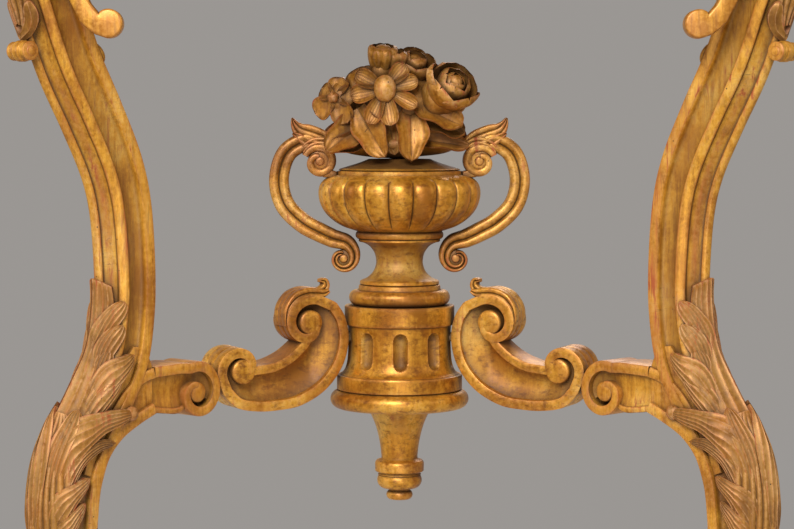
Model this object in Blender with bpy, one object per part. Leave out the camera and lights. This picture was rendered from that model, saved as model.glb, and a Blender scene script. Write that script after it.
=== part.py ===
"""Carved and gilded console table with a marble slab.

Two S-shaped front legs stand on the diagonal. Scroll blocks and C-scroll brackets carry a
fluted drum between them, and a gadrooned urn with a carved bouquet stands on the drum.
Plain rear legs carry the back of the frieze. Metres, +Z up, the front looks along -Y,
and the origin lies on the floor under the middle of the slab.
"""
import math

import bmesh
import bpy
import numpy as np

MM = 0.001
GAP = 0.3 * MM              # glue line left between two touching pieces

# Slab and frieze
TABLE_HEIGHT = 880 * MM
SLAB_THICKNESS = 30 * MM
SLAB_BACK_WIDTH = 1140 * MM
SLAB_OVERHANG = 24 * MM     # past the corner blocks
SLAB_FRONT_OVERHANG = 37 * MM
SLAB_EDGE_ROUND = 9 * MM
FRIEZE_HEIGHT = 95 * MM
RAIL_THICKNESS = 24 * MM
BLOCK_SIZE = 66 * MM        # square corner block over each front leg
REAR_LEG_SIZE = 46 * MM
REAR_LEG_FOOT = 34 * MM
REAR_LEG_INSET = 24 * MM    # from the end of the slab
REAR_LEG_SHOULDER = 30 * MM  # straight length below the frieze
MOULDING_HEIGHT = 16 * MM
MOULDING_DEPTH = 9 * MM
GLUE_BLOCK = 34 * MM
GLUE_BLOCK_SHORT = 6 * MM   # each end of a glue block stops inside the frieze
BEARER_WIDTH = 40 * MM
BEARER_HEIGHT = 30 * MM

# Turned stack on the urn axis: heights of its pieces and their radii
AXIS_TO_BACK = 130 * MM     # urn axis to the back of the slab
RING_BOTTOM = 257.5 * MM    # floor to the underside of the base ring
PENDANT_HEIGHT = 99.5 * MM
RING_HEIGHT = 20.5 * MM
DRUM_HEIGHT = 91 * MM
FOOT_HEIGHT = 22 * MM
STEM_HEIGHT = 49 * MM
BOWL_HEIGHT = 73 * MM
COVER_HEIGHT = 13 * MM
RING_RADIUS = 74.4 * MM
DRUM_RADIUS = 54.5 * MM
DRUM_BASE_RADIUS = 67.4 * MM
DRUM_BAND_RADIUS = 59 * MM
FOOT_RADIUS = 54 * MM
STEM_WAIST_RADIUS = 25 * MM
BOWL_RADIUS = 87 * MM
BOWL_LOW_RADIUS = 46.8 * MM
RIM_RADIUS = 66.5 * MM
ROD_RADIUS = 7 * MM
ROD_FIT = 0.4 * MM
FLUTES = 9
FLUTE_WIDTH = 15 * MM
FLUTE_HEIGHT = 38 * MM
FLUTE_DEPTH = 5 * MM
GADROONS = 20
GADROON_DEPTH = 4 * MM
TURNING_SIDES = 36          # four to a flute

# C-scroll bracket, drawn from the drum outwards
BRACKET_ANGLE = math.radians(25)
BRACKET_THIN = 28 * MM      # thickness next to the drum
BRACKET_THICK = 54 * MM     # thickness next to the scroll block
BRACKET_SETBACK = 1 * MM    # front face behind the urn axis
BRACKET_LENGTH = 148 * MM
BRACKET_LOW_RADIUS = 28 * MM
BRACKET_TOP_RADIUS = 28 * MM
BRACKET_TOP_REACH = 43 * MM  # drum band to the top eye
BRACKET_DROP = 16 * MM      # bottom of the bracket below the drum
BRACKET_LOW_RISE = 44 * MM  # bottom of the bracket to its low eye
BRACKET_TOP_RISE = 94 * MM  # bottom of the bracket to its top eye
BRACKET_JOINT_RISE = 73 * MM  # bottom of the bracket to its joint with the drum
RIM_WIDTH = 9 * MM
RIM_SINK = 7 * MM
EYE_RADIUS = 11 * MM
EYE_DROP = 5 * MM           # top eye below the middle of its volute
TONGUE_SHELF = 18 * MM      # half height of the tongue on the drum

# Scroll block glued to the knee of the leg
SCROLL_WIDTH = 46 * MM
SCROLL_RADIUS = 29 * MM
SCROLL_REACH = 81 * MM      # leg line to the eye of the scroll
SCROLL_SEAM = 22 * MM       # leg line to the glue seam
SCROLL_ROOT = 24 * MM       # half height of the block at the seam
SCROLL_RISE = 7 * MM        # middle of the seam above the eye
SCROLL_DROP = 19 * MM       # eye of the scroll below the low eye of the bracket
SCROLL_ACROSS = 61.5 * MM   # low eye of the bracket to the eye of the scroll, sideways
SCROLL_FORWARD = 17.1 * MM  # the same, towards the front

# Front leg
LEG_ANGLE = math.radians(45)
LEG_TOP_REACH = 112 * MM    # leg line to the middle of the leg's top
LEG_WIDTH = 47 * MM         # across the coved sides
LEG_NOSE = 36 * MM          # leg line to the front bead, at the waist
LEG_BACK = 22 * MM          # leg line to the flat back, at the waist
LEG_SWELL = 3 * MM          # extra nose and back above and below the waist
LEG_HEAD_NOSE = 31 * MM     # leg line to the front bead, under the corner block
LEG_ANKLE_NOSE = 27 * MM
LEG_ANKLE_BACK = 21 * MM
LEG_BEAD = 5 * MM           # half width of the front bead
LEG_RIB = 7 * MM
LEG_BAND = 14 * MM          # flat band along the back of each side
LEG_SINK = 4 * MM           # depth of the coves
LEG_ANKLE_HEIGHT = 85 * MM
LEAF_STAND = 9 * MM         # how far the carved leaves stand off the leg
LEAF_ROLL_RADIUS = 10.5 * MM
LEAF_ROLL_OUT = 9 * MM      # rolled end of the upper leaf outside the leg's top
LEAF_ROLL_DROP = 123 * MM   # and below the frieze
LEAF_ROLL_HALF = 14 * MM    # half length of the rolled leaf
PLINTH_HEIGHT = 22 * MM
PLINTH_LENGTH = 92 * MM
PLINTH_WIDTH = 66 * MM
TOE_RADIUS = 19 * MM
FOOT_RIM = 5 * MM
FOOT_SINK = 2 * MM

# Handles and bouquet
HANDLE_BAND = 21 * MM
HANDLE_WIDTH = 20 * MM
HANDLE_GROOVE = 3 * MM
HANDLE_SPREAD = 42.5 * MM   # belly of the bowl to the middle of the band
HANDLE_TOP_RADIUS = 16.5 * MM
HANDLE_LOW_RADIUS = 15 * MM
HANDLE_TOP_OUT = 18.5 * MM  # rim of the bowl to the top eye
HANDLE_TOP_RISE = 10 * MM   # top of the bowl to the top eye
HANDLE_LOW_OUT = 35 * MM    # waist of the stem to the low eye
HANDLE_LOW_DROP = 21 * MM   # top of the stem to the low eye
HANDLE_SEAT = 5 * MM
HANDLE_LEAF = 12 * MM       # thickness of the leaf on the handle
PIN_RADIUS = 2.5 * MM
PIN_INSIDE = 16 * MM
PIN_OUTSIDE = 14 * MM
BOUQUET_HALF_WIDTH = 60 * MM
BOUQUET_HALF_DEPTH = 46 * MM
BOUQUET_HALF_HEIGHT = 44 * MM
BOUQUET_RISE = 51 * MM      # top of the cover to the middle of the bouquet
BOUQUET_SHIFT = -5 * MM     # middle of the bouquet beside the urn axis

# Dowels
DOWEL_RADIUS = 5 * MM
DOWEL_LENGTH = 44 * MM
DOWEL_FIT = 0.3 * MM
SCROLL_DOWEL_RISE = 8 * MM
BRACKET_DOWEL_RISE = 11 * MM
BRACKET_DOWEL_DEPTH = 8 * MM

# Aprons beside the leg tops
EAR_THICKNESS = 20 * MM
EAR_SETBACK = 1 * MM
EAR_DROP = 97 * MM          # frieze to the eye of the ear's scroll
EAR_EYE_IN = 77.2 * MM      # eye of the ear's scroll inside the top of the leg
EAR_SPAN = 150 * MM
EAR_SCROLL_RADIUS = 14 * MM

# Places that follow from the sizes above
FRIEZE_TOP = TABLE_HEIGHT - SLAB_THICKNESS
FRIEZE_BOTTOM = FRIEZE_TOP - FRIEZE_HEIGHT
PENDANT_BOTTOM = RING_BOTTOM - PENDANT_HEIGHT
DRUM_BOTTOM = RING_BOTTOM + RING_HEIGHT
DRUM_TOP = DRUM_BOTTOM + DRUM_HEIGHT
FOOT_TOP = DRUM_TOP + FOOT_HEIGHT
STEM_TOP = FOOT_TOP + STEM_HEIGHT
BOWL_TOP = STEM_TOP + BOWL_HEIGHT
COVER_TOP = BOWL_TOP + COVER_HEIGHT
BOUQUET_MIDDLE = COVER_TOP + BOUQUET_RISE
BRACKET_NOSE = DRUM_BAND_RADIUS
BRACKET_BOTTOM = DRUM_BOTTOM - BRACKET_DROP
BRACKET_LOW_EYE = (BRACKET_NOSE + BRACKET_LENGTH - BRACKET_LOW_RADIUS, BRACKET_BOTTOM + BRACKET_LOW_RISE)
BRACKET_TOP_EYE = (BRACKET_NOSE + BRACKET_TOP_REACH, BRACKET_BOTTOM + BRACKET_TOP_RISE)
BRACKET_JOINT = BRACKET_BOTTOM + BRACKET_JOINT_RISE
SCROLL_HEIGHT = BRACKET_LOW_EYE[1] - SCROLL_DROP
SCROLL_LOW = SCROLL_HEIGHT + SCROLL_RISE - SCROLL_ROOT
SCROLL_HIGH = SCROLL_HEIGHT + SCROLL_RISE + SCROLL_ROOT
KNEE_SPREAD = (BRACKET_LOW_EYE[0] * math.cos(BRACKET_ANGLE) + SCROLL_ACROSS
               + SCROLL_REACH * math.cos(LEG_ANGLE))
KNEE_FORWARD = (BRACKET_LOW_EYE[0] * math.sin(BRACKET_ANGLE) + SCROLL_FORWARD
                + SCROLL_REACH * math.sin(LEG_ANGLE))
LEG_TOP_FORWARD = LEG_TOP_REACH * math.sin(LEG_ANGLE)
SLAB_DEPTH = (AXIS_TO_BACK + KNEE_FORWARD + LEG_TOP_FORWARD + RAIL_THICKNESS
              + SLAB_FRONT_OVERHANG)
BACK = SLAB_DEPTH / 2
FRONT = -SLAB_DEPTH / 2
AXIS_Y = BACK - AXIS_TO_BACK
KNEE_Y = AXIS_Y - KNEE_FORWARD
RAIL_FACE = KNEE_Y - LEG_TOP_FORWARD - RAIL_THICKNESS
HANDLE_REACH = BOWL_RADIUS + HANDLE_SPREAD
HANDLE_TOP_EYE = (RIM_RADIUS + HANDLE_TOP_OUT, BOWL_TOP + HANDLE_TOP_RISE)
HANDLE_LOW_EYE = (STEM_WAIST_RADIUS + HANDLE_LOW_OUT, STEM_TOP - HANDLE_LOW_DROP)
UP = np.array((0.0, 0.0, 1.0))

GILT = ((0.55, 0.31, 0.07), 0.42, 0.75)
BARE_WOOD = ((0.32, 0.20, 0.10), 0.7, 0.0)
MARBLE = ((0.62, 0.57, 0.51), 0.25, 0.0)
IRON = ((0.12, 0.11, 0.10), 0.6, 0.9)


def clear_scene():
    for thing in list(bpy.data.objects):
        bpy.data.objects.remove(thing, do_unlink=True)


def material(name, look):
    made = bpy.data.materials.get(name)
    if made is None:
        color, roughness, metallic = look
        made = bpy.data.materials.new(name)
        made.use_nodes = True
        shader = made.node_tree.nodes["Principled BSDF"]
        shader.inputs["Base Color"].default_value = (*color, 1.0)
        shader.inputs["Roughness"].default_value = roughness
        shader.inputs["Metallic"].default_value = metallic
    return made


def piece(name, points, faces, look, cutter=False):
    """One closed body from points and faces, its faces turned outwards."""
    mesh = bpy.data.meshes.new(name)
    mesh.from_pydata([tuple(float(c) for c in p) for p in points], [], faces)
    shaped = bmesh.new()
    shaped.from_mesh(mesh)
    bmesh.ops.recalc_face_normals(shaped, faces=shaped.faces)
    shaped.to_mesh(mesh)
    shaped.free()
    mesh.shade_smooth()
    mesh.set_sharp_from_angle(angle=math.radians(35))
    made = bpy.data.objects.new(name, mesh)
    bpy.context.scene.collection.objects.link(made)
    mesh.materials.append(material(name + "_finish", look))
    if cutter:
        made.hide_render = True
        made.display_type = "WIRE"
    return made


def boolean(target, tool, operation):
    """Join a helper body to the piece or cut it away; the helper is hidden."""
    tool.hide_render = True
    tool.display_type = "WIRE"
    step = target.modifiers.new(operation.lower(), "BOOLEAN")
    step.operation = operation
    step.object = tool
    step.solver = "EXACT"


def curve_through(points, steps):
    """Smooth open curve through the given points, sampled evenly between them."""
    knots = [np.array(p, float) for p in points]
    knots = [2 * knots[0] - knots[1]] + knots + [2 * knots[-1] - knots[-2]]
    line = []
    for i in range(1, len(knots) - 2):
        before, start, end, after = knots[i - 1:i + 3]
        for k in range(steps):
            t = k / steps
            line.append(0.5 * (2 * start + (end - before) * t
                               + (2 * before - 5 * start + 4 * end - after) * t * t
                               + (3 * start - before - 3 * end + after) * t ** 3))
    line.append(knots[-2])
    return line


def arc(center, radius, start, end, steps):
    """Points on a circle; angles in degrees, counted from the first axis."""
    angles = np.radians(np.linspace(start, end, steps + 1))
    return [np.array((center[0] + radius * math.cos(a), center[1] + radius * math.sin(a)))
            for a in angles]


def loft(name, rings, look, cutter=False, closed=False):
    """Skin over rings of points, with flat ends unless the rings close on themselves."""
    count = len(rings[0])
    points = [p for ring in rings for p in ring]
    faces = []
    spans = len(rings) if closed else len(rings) - 1
    for i in range(spans):
        here = i * count
        there = ((i + 1) % len(rings)) * count
        for k in range(count):
            n = (k + 1) % count
            faces.append((here + k, here + n, there + n, there + k))
    if not closed:
        faces.append(tuple(range(count)))
        faces.append(tuple(range(len(points) - count, len(points))))
    return piece(name, points, faces, look, cutter)


def turned(name, profile, look, sides=TURNING_SIDES, wave=None, phase=0.5):
    """Turn a closed loop of (radius, height) round the urn axis."""
    rings = []
    for k in range(sides):
        angle = 2 * math.pi * (k + phase) / sides - math.pi / 2
        ring = []
        for radius, height in profile:
            reach = radius + (wave(radius, height, angle) if wave else 0.0)
            ring.append((reach * math.cos(angle), AXIS_Y + reach * math.sin(angle), height))
        rings.append(ring)
    return loft(name, rings, look, closed=True)


def turned_solid(name, outline, look, sides=TURNING_SIDES, cutter=False):
    """Turn an outline of (radius, height), bottom to top, into a body with flat ends."""
    angles = [2 * math.pi * (k + 0.5) / sides - math.pi / 2 for k in range(sides)]
    rings = [[(radius * math.cos(a), AXIS_Y + radius * math.sin(a), height) for a in angles]
             for radius, height in outline]
    return loft(name, rings, look, cutter)


def bored(outline, fit=ROD_FIT):
    """Close a turned outline, drawn from its bottom to its top, round the tie rod."""
    bore = ROD_RADIUS + fit
    return outline + [(bore, outline[-1][1]), (bore, outline[0][1])]


class Plane:
    """Upright plane: reach runs along it, depth runs square to it towards the front."""

    def __init__(self, origin, side, angle):
        self.origin = np.array((origin[0], origin[1], 0.0))
        self.out = np.array((side * math.cos(angle), -math.sin(angle), 0.0))
        self.face = np.array((-side * math.sin(angle), -math.cos(angle), 0.0))

    def at(self, reach, height, depth=0.0):
        return self.origin + reach * self.out + height * UP + depth * self.face


def leg_plane(side):
    return Plane((side * KNEE_SPREAD, KNEE_Y), side, LEG_ANGLE)


def bracket_plane(side):
    return Plane((0.0, AXIS_Y), side, BRACKET_ANGLE)


def inner_field(outline, rim):
    """The outline drawn in by the width of a rim, without the loops at tight corners."""
    line = [np.array(p, float) for p in outline]
    count = len(line)
    area = sum(line[i - 1][0] * line[i][1] - line[i][0] * line[i - 1][1] for i in range(count))
    turn = math.copysign(1.0, area)
    normals = []
    for i in range(count):
        along = line[(i + 1) % count] - line[i]
        normals.append(np.array((-along[1], along[0])) * turn / np.linalg.norm(along))
    field = []
    for i in range(count):
        middle = normals[i - 1] + normals[i]
        spot = line[i] + 2 * rim * middle / max(float(middle @ middle), 1.0)
        if min(distance_to(spot, line[k - 1], line[k]) for k in range(count)) > rim * 0.93:
            field.append(spot)
    return field


def distance_to(spot, start, end):
    run = end - start
    share = min(max(float((spot - start) @ run / (run @ run)), 0.0), 1.0)
    return float(np.linalg.norm(spot - start - share * run))


def plate(name, outline, plane, low, high, look, rim=0.0, sink=0.0, cutter=False):
    """Board of the given outline; a rim leaves a raised border round a sunk field.

    The back, low, is one depth or a function that gives the depth at each reach.
    """
    back = low if callable(low) else (lambda reach: low)
    rings = [[plane.at(p[0], p[1], back(p[0])) for p in outline],
             [plane.at(p[0], p[1], high) for p in outline]]
    made = loft(name, rings, look, cutter)
    if rim:
        field = inner_field(outline, rim)
        hollows = (("back", lambda reach: back(reach) - sink, lambda reach: back(reach) + sink),
                   ("front", lambda reach: high - sink, lambda reach: high + sink))
        for label, start, end in hollows:
            rings = [[plane.at(p[0], p[1], depth(p[0])) for p in field] for depth in (start, end)]
            boolean(made, loft(f"{name}_{label}_field", rings, look, True), "DIFFERENCE")
    return made


def block(name, corners, low, high, look, cutter=False):
    """Upright prism over a plan outline."""
    rings = [[(x, y, height) for x, y in corners] for height in (low, high)]
    return loft(name, rings, look, cutter)


def rod(name, start, end, radius, look, sides=10, cutter=False):
    start, end = np.array(start, float), np.array(end, float)
    along = (end - start) / np.linalg.norm(end - start)
    across = np.cross(along, UP if abs(along[2]) < 0.9 else np.array((1.0, 0.0, 0.0)))
    across /= np.linalg.norm(across)
    other = np.cross(along, across)
    angles = [2 * math.pi * k / sides for k in range(sides)]
    rings = [[p + radius * (math.cos(a) * across + math.sin(a) * other) for a in angles]
             for p in (start, end)]
    return loft(name, rings, look, cutter)


def egg(name, center, radii, look, columns=12, rows=7, lobes=0, swell=0.0, facing=None):
    """Rounded blob, drawn out into lobes like petals where asked."""
    axis = np.array(facing if facing is not None else (0.0, 0.0, 1.0), float)
    axis /= np.linalg.norm(axis)
    across = np.cross(axis, (1.0, 0.0, 0.0) if abs(axis[0]) < 0.9 else (0.0, 1.0, 0.0))
    across /= np.linalg.norm(across)
    other = np.cross(axis, across)
    points = [np.array(center) - radii[2] * axis]
    for i in range(1, rows):
        lat = math.pi * i / rows - math.pi / 2
        for k in range(columns):
            lon = 2 * math.pi * k / columns
            grow = 1 + swell * math.cos(lobes * lon) if lobes else 1
            points.append(np.array(center) + radii[2] * math.sin(lat) * axis
                          + math.cos(lat) * grow * (radii[0] * math.cos(lon) * across
                                                    + radii[1] * math.sin(lon) * other))
    points.append(np.array(center) + radii[2] * axis)
    faces = [(0, 1 + (k + 1) % columns, 1 + k) for k in range(columns)]
    for i in range(rows - 2):
        here, there = 1 + i * columns, 1 + (i + 1) * columns
        for k in range(columns):
            n = (k + 1) % columns
            faces.append((here + k, here + n, there + n, there + k))
    last, top = 1 + (rows - 2) * columns, len(points) - 1
    faces += [(last + k, last + (k + 1) % columns, top) for k in range(columns)]
    return piece(name, points, faces, look, cutter=True)


def drill(targets, start, end, radius):
    """Cut the same round hole through each of the pieces."""
    cutter = rod(targets[0].name + "_drill", start, end, radius, BARE_WOOD, cutter=True)
    for target in targets:
        boolean(target, cutter, "DIFFERENCE")


def dowel(name, start, end, targets, radius=DOWEL_RADIUS, look=BARE_WOOD):
    """A loose pin and its hole in the pieces that it holds together."""
    start, end = np.array(start, float), np.array(end, float)
    along = (end - start) / np.linalg.norm(end - start)
    drill(targets, start - along * GAP, end + along * GAP, radius + DOWEL_FIT)
    return rod(name, start, end, radius, look)


def side_name(side):
    return "left" if side < 0 else "right"


def leg_line():
    """Middle line of a leg in its plane, as (reach, height), from the frieze down."""
    top = [(1.0, GAP), (0.946, 33 * MM), (0.8125, 72 * MM), (0.607, 130 * MM),
           (0.357, 182 * MM), (0.143, 231 * MM)]
    waist = [(4 * MM, 193 * MM), (-1 * MM, 133 * MM), (0, 88 * MM), (10 * MM, 38 * MM)]
    calf = [(36 * MM, 0.96), (58 * MM, 0.787), (71 * MM, 0.629), (77 * MM, 0.411),
            (73 * MM, 0.213), (64 * MM, 0.0)]
    line = [(share * LEG_TOP_REACH, FRIEZE_BOTTOM - drop) for share, drop in top]
    line += [(reach, SCROLL_HEIGHT + rise) for reach, rise in waist]
    rest = SCROLL_HEIGHT - LEG_ANKLE_HEIGHT
    return line + [(reach, LEG_ANKLE_HEIGHT + share * rest) for reach, share in calf]


def leg_depths(share):
    """Nose and back of the leg's section from its top, share 0, to its ankle, share 1."""
    shares = (0.0, 0.1, 0.5, 0.85, 1.0)
    full = LEG_NOSE + LEG_SWELL
    thick = LEG_BACK + LEG_SWELL
    nose = np.interp(share, shares, (LEG_HEAD_NOSE, full, LEG_NOSE, full, LEG_ANKLE_NOSE))
    back = np.interp(share, shares, (thick, thick, LEG_BACK, thick, LEG_ANKLE_BACK))
    return float(nose), float(back)


def leg_section(nose, back, grow):
    """Outline of a leg: front bead, hollow flanks at 45 degrees, ribs, coved sides, bands."""
    side = LEG_WIDTH / 2
    cove = side - LEG_SINK
    corner = nose - side        # where the flank would meet the side
    half = [(nose, LEG_BEAD * 0.5), (nose - LEG_BEAD * 0.8, LEG_BEAD),
            (nose - side * 0.5 - 1 * MM, side * 0.5 - 1 * MM),
            (corner + LEG_RIB, side - LEG_RIB), (corner + LEG_RIB - 1 * MM, side - LEG_RIB * 0.4),
            (corner + 1 * MM, side), (corner - LEG_SINK, cove + 1 * MM),
            (corner - LEG_SINK * 3, cove), (LEG_BAND - back + LEG_SINK, cove + 1 * MM),
            (LEG_BAND - back, side), (-back, side)]
    section = half + [(a, -b) for a, b in reversed(half)]
    return inner_field(section, -grow) if grow else section


def leg_frames():
    """Stations down the leg: middle, outward direction, nose and back of its section."""
    line = curve_through(leg_line(), 2)
    frames = []
    for i, spot in enumerate(line):
        before, after = line[max(i - 1, 0)], line[min(i + 1, len(line) - 1)]
        down = (after - before) / np.linalg.norm(after - before)
        if i in (0, len(line) - 1):
            down = np.array((0.0, -1.0))
        frames.append((spot, np.array((-down[1], down[0])), *leg_depths(i / (len(line) - 1))))
    return frames


def leg_body(name, side, grow=0.0, cutter=False):
    plane = leg_plane(side)
    rings = []
    for spot, out, nose, back in leg_frames():
        section = leg_section(nose, back, grow)
        rings.append([plane.at(*(spot + a * out), b) for a, b in section])
    return loft(name, rings, GILT, cutter)


def leg_leaf(side, label, first, last, shape):
    """Carved leaf folded over the front bead and the flanks between two stations."""
    plane = leg_plane(side)
    frames = leg_frames()[first:last + 1]
    rings = []
    for i, (spot, out, nose, _) in enumerate(frames):
        spread, stand = shape(i / (len(frames) - 1))
        half = [(nose + stand, LEG_BEAD * 0.4),
                (nose - spread * 0.5 + stand * 0.6, spread * 0.5 + stand * 0.6),
                (nose - spread + stand * 0.5, spread + stand * 0.5),
                (nose - spread - LEG_BEAD, max(spread - LEG_BEAD, LEG_BEAD * 0.4))]
        section = half + [(a, -b) for a, b in reversed(half)]
        rings.append([plane.at(*(spot + a * out), b) for a, b in section])
    return loft(f"{side_name(side)}_{label}_leaf", rings, GILT, True)


def upper_leaf(share):
    """Spread and stand of the leaf that climbs from the calf to the knee."""
    lobes = 1 + 0.08 * math.cos(6 * math.pi * share)
    return LEG_WIDTH / 2 * (0.3 + 0.75 * share ** 0.6) * lobes, LEAF_STAND * (0.6 - 0.5 * share)


def lower_leaf(share):
    """The same for the leaf that climbs from the ankle and turns out at its tip."""
    return LEG_WIDTH / 2 + LEAF_STAND * (0.4 - 0.4 * share), LEAF_STAND * (1.1 - 0.7 * share)


def leg_spur(side):
    """Thickening of the leg towards the scroll block, down to the inner sweep."""
    low, high = SCROLL_LOW, SCROLL_HIGH
    sweep = curve_through([(-SCROLL_SEAM, low), (0, low - 9 * MM), (20 * MM, low - 21 * MM),
                           (36 * MM, low - 38 * MM), (46 * MM, low - 60 * MM)], 2)
    outline = [(-SCROLL_SEAM, high)] + sweep
    outline += [(66 * MM, low - 52 * MM), (34 * MM, high - 18 * MM), (2 * MM, high + 22 * MM),
                (-14 * MM, high + 20 * MM)]
    half = SCROLL_WIDTH / 2
    return plate(side_name(side) + "_leg_spur", outline, leg_plane(side), -half, half, GILT,
                 cutter=True)


def leg_leaf_roll(side, grow=0.0):
    """Carved leaf on the upper front of the leg, rolled outwards at its lower end."""
    roll = (LEG_TOP_REACH + LEAF_ROLL_OUT, FRIEZE_BOTTOM - LEAF_ROLL_DROP)
    outline = arc(roll, LEAF_ROLL_RADIUS, 150, 385, 8)
    outline += [(roll[0] + 13 * MM, roll[1] + 36 * MM), (roll[0] + 21 * MM, roll[1] + 80 * MM),
                (roll[0] - 3 * MM, roll[1] + 80 * MM), (roll[0] - 16 * MM, roll[1] + 36 * MM),
                (roll[0] - 17 * MM, roll[1] + 13 * MM)]
    if grow:
        outline = inner_field(outline, -grow)
    half = LEAF_ROLL_HALF + grow
    return plate(side_name(side) + "_leg_roll", outline, leg_plane(side), -half, half, GILT,
                 cutter=True)


def front_leg(side):
    made = leg_body(side_name(side) + "_front_leg", side)
    boolean(made, leg_spur(side), "UNION")
    boolean(made, leg_leaf_roll(side), "UNION")
    boolean(made, leg_leaf(side, "upper", 15, 21, upper_leaf), "UNION")
    boolean(made, leg_leaf(side, "lower", 21, 29, lower_leaf), "UNION")
    return made


def front_foot(side):
    """Scrolled foot under the ankle and the square plinth under the foot."""
    plane = leg_plane(side)
    ankle = leg_line()[-1][0]
    low, high = PLINTH_HEIGHT + GAP, LEG_ANKLE_HEIGHT - GAP
    heel, instep = ankle - LEG_ANKLE_BACK, ankle + LEG_ANKLE_NOSE
    toe = (instep + TOE_RADIUS * 0.3, low + TOE_RADIUS)
    neck = arc(toe, TOE_RADIUS, 110, 110, 1)[0]
    outline = curve_through([(heel, high), (heel + 5 * MM, high - 20 * MM),
                             (heel + 4 * MM, low + 16 * MM), (heel - 5 * MM, low)], 3)
    outline += arc(toe, TOE_RADIUS, -90, 100, 12)
    outline += curve_through([neck, (instep - 4 * MM, (neck[1] + high) / 2), (instep, high)], 3)
    half = LEG_WIDTH / 2 - FOOT_SINK
    foot = plate(side_name(side) + "_front_foot", outline, plane, -half, half, GILT,
                 FOOT_RIM, FOOT_SINK)
    middle = ankle + TOE_RADIUS * 0.6
    corners = [plane.at(middle + a * PLINTH_LENGTH / 2, 0, b * PLINTH_WIDTH / 2)[:2]
               for a, b in ((-1, -1), (1, -1), (1, 1), (-1, 1))]
    block(side_name(side) + "_front_plinth", corners, 0.0, PLINTH_HEIGHT, GILT)
    return foot


def leg_scroll(side):
    """Volute block glued to the knee, reaching in to the end of the bracket."""
    plane = leg_plane(side)
    eye = (-SCROLL_REACH, SCROLL_HEIGHT)
    low, high = SCROLL_LOW, SCROLL_HIGH
    seam = -SCROLL_SEAM - GAP
    outline = [(seam, low), (seam, high), (seam - 22 * MM, high - 3 * MM)]
    outline += arc(eye, SCROLL_RADIUS, 80, 280, 16)
    outline += [(seam - 26 * MM, low - 6 * MM)]
    half = SCROLL_WIDTH / 2
    made = plate(side_name(side) + "_leg_scroll", outline, plane, -half, half, GILT,
                 rim=RIM_WIDTH * 0.8, sink=RIM_SINK * 0.7)
    knob = rod(made.name + "_eye", plane.at(*eye, -half), plane.at(*eye, half), EYE_RADIUS,
               GILT, 16, True)
    boolean(made, knob, "UNION")
    return made


def bracket_outline():
    """C-scroll: round its low volute, along the belly, up to its top volute and back."""
    low, top = BRACKET_LOW_EYE, BRACKET_TOP_EYE
    belly = curve_through([
        arc(low, BRACKET_LOW_RADIUS, -14, -14, 1)[0],
        (low[0] + 12 * MM, BRACKET_BOTTOM + 8 * MM),
        (low[0] - 31 * MM, BRACKET_BOTTOM),
        (low[0] - 66 * MM, BRACKET_BOTTOM + 4 * MM),
        (BRACKET_NOSE + 26 * MM, BRACKET_BOTTOM + 20 * MM),
        (BRACKET_NOSE + 7 * MM, BRACKET_BOTTOM + 44 * MM),
        (BRACKET_NOSE, BRACKET_JOINT),
        (BRACKET_NOSE + 5 * MM, top[1] + 4 * MM),
        (BRACKET_NOSE + 18 * MM, top[1] + 20 * MM),
        arc(top, BRACKET_TOP_RADIUS, 88, 88, 1)[0]], 2)
    hollow = curve_through([
        (top[0] + 17 * MM, top[1] - 25 * MM),
        (low[0] - 52 * MM, low[1] + 20 * MM),
        (low[0] - 36 * MM, low[1] + 11 * MM),
        (low[0] - 18 * MM, low[1] + 8 * MM)], 3)
    crown = arc(top, BRACKET_TOP_RADIUS, 72, -44, 8)
    volute = arc(low, BRACKET_LOW_RADIUS * 0.83, 128, 65, 5)
    return belly + crown + hollow + volute + [arc(low, BRACKET_LOW_RADIUS, 22, 22, 1)[0]]


def bracket_back(reach):
    """Depth of the bracket's back: the carved piece thickens from the drum to the leg."""
    share = (reach - BRACKET_NOSE) / BRACKET_LENGTH
    return -BRACKET_SETBACK - BRACKET_THIN - (BRACKET_THICK - BRACKET_THIN) * share


def bracket(side):
    """Bracket with raised rims, its eyes, and tongues that seat on the drum and scroll."""
    plane = bracket_plane(side)
    front = -BRACKET_SETBACK
    name = side_name(side) + "_bracket"
    made = plate(name, bracket_outline(), plane, bracket_back, front, GILT, RIM_WIDTH, RIM_SINK)
    eyes = (("top", BRACKET_TOP_EYE[0], BRACKET_TOP_EYE[1] - EYE_DROP), ("low", *BRACKET_LOW_EYE))
    for label, reach, height in eyes:
        knob = rod(f"{name}_{label}_eye", plane.at(reach, height, bracket_back(reach)),
                   plane.at(reach, height, front), EYE_RADIUS, GILT, 16, True)
        boolean(made, knob, "UNION")
    inner, outer = 0.0, BRACKET_NOSE + RIM_WIDTH
    low, high = BRACKET_JOINT - TONGUE_SHELF, BRACKET_JOINT + TONGUE_SHELF
    tongue = [(outer, low), (outer, high), (inner, high), (inner, low)]
    inset = RIM_SINK * 0.4
    boolean(made, plate(name + "_tongue", tongue, plane, bracket_back(BRACKET_NOSE) + inset,
                        front - inset, GILT, cutter=True), "UNION")
    scribe = turned_solid(name + "_scribe", drum_outline(GAP), GILT, cutter=True)
    boolean(made, scribe, "DIFFERENCE")
    return made


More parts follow.
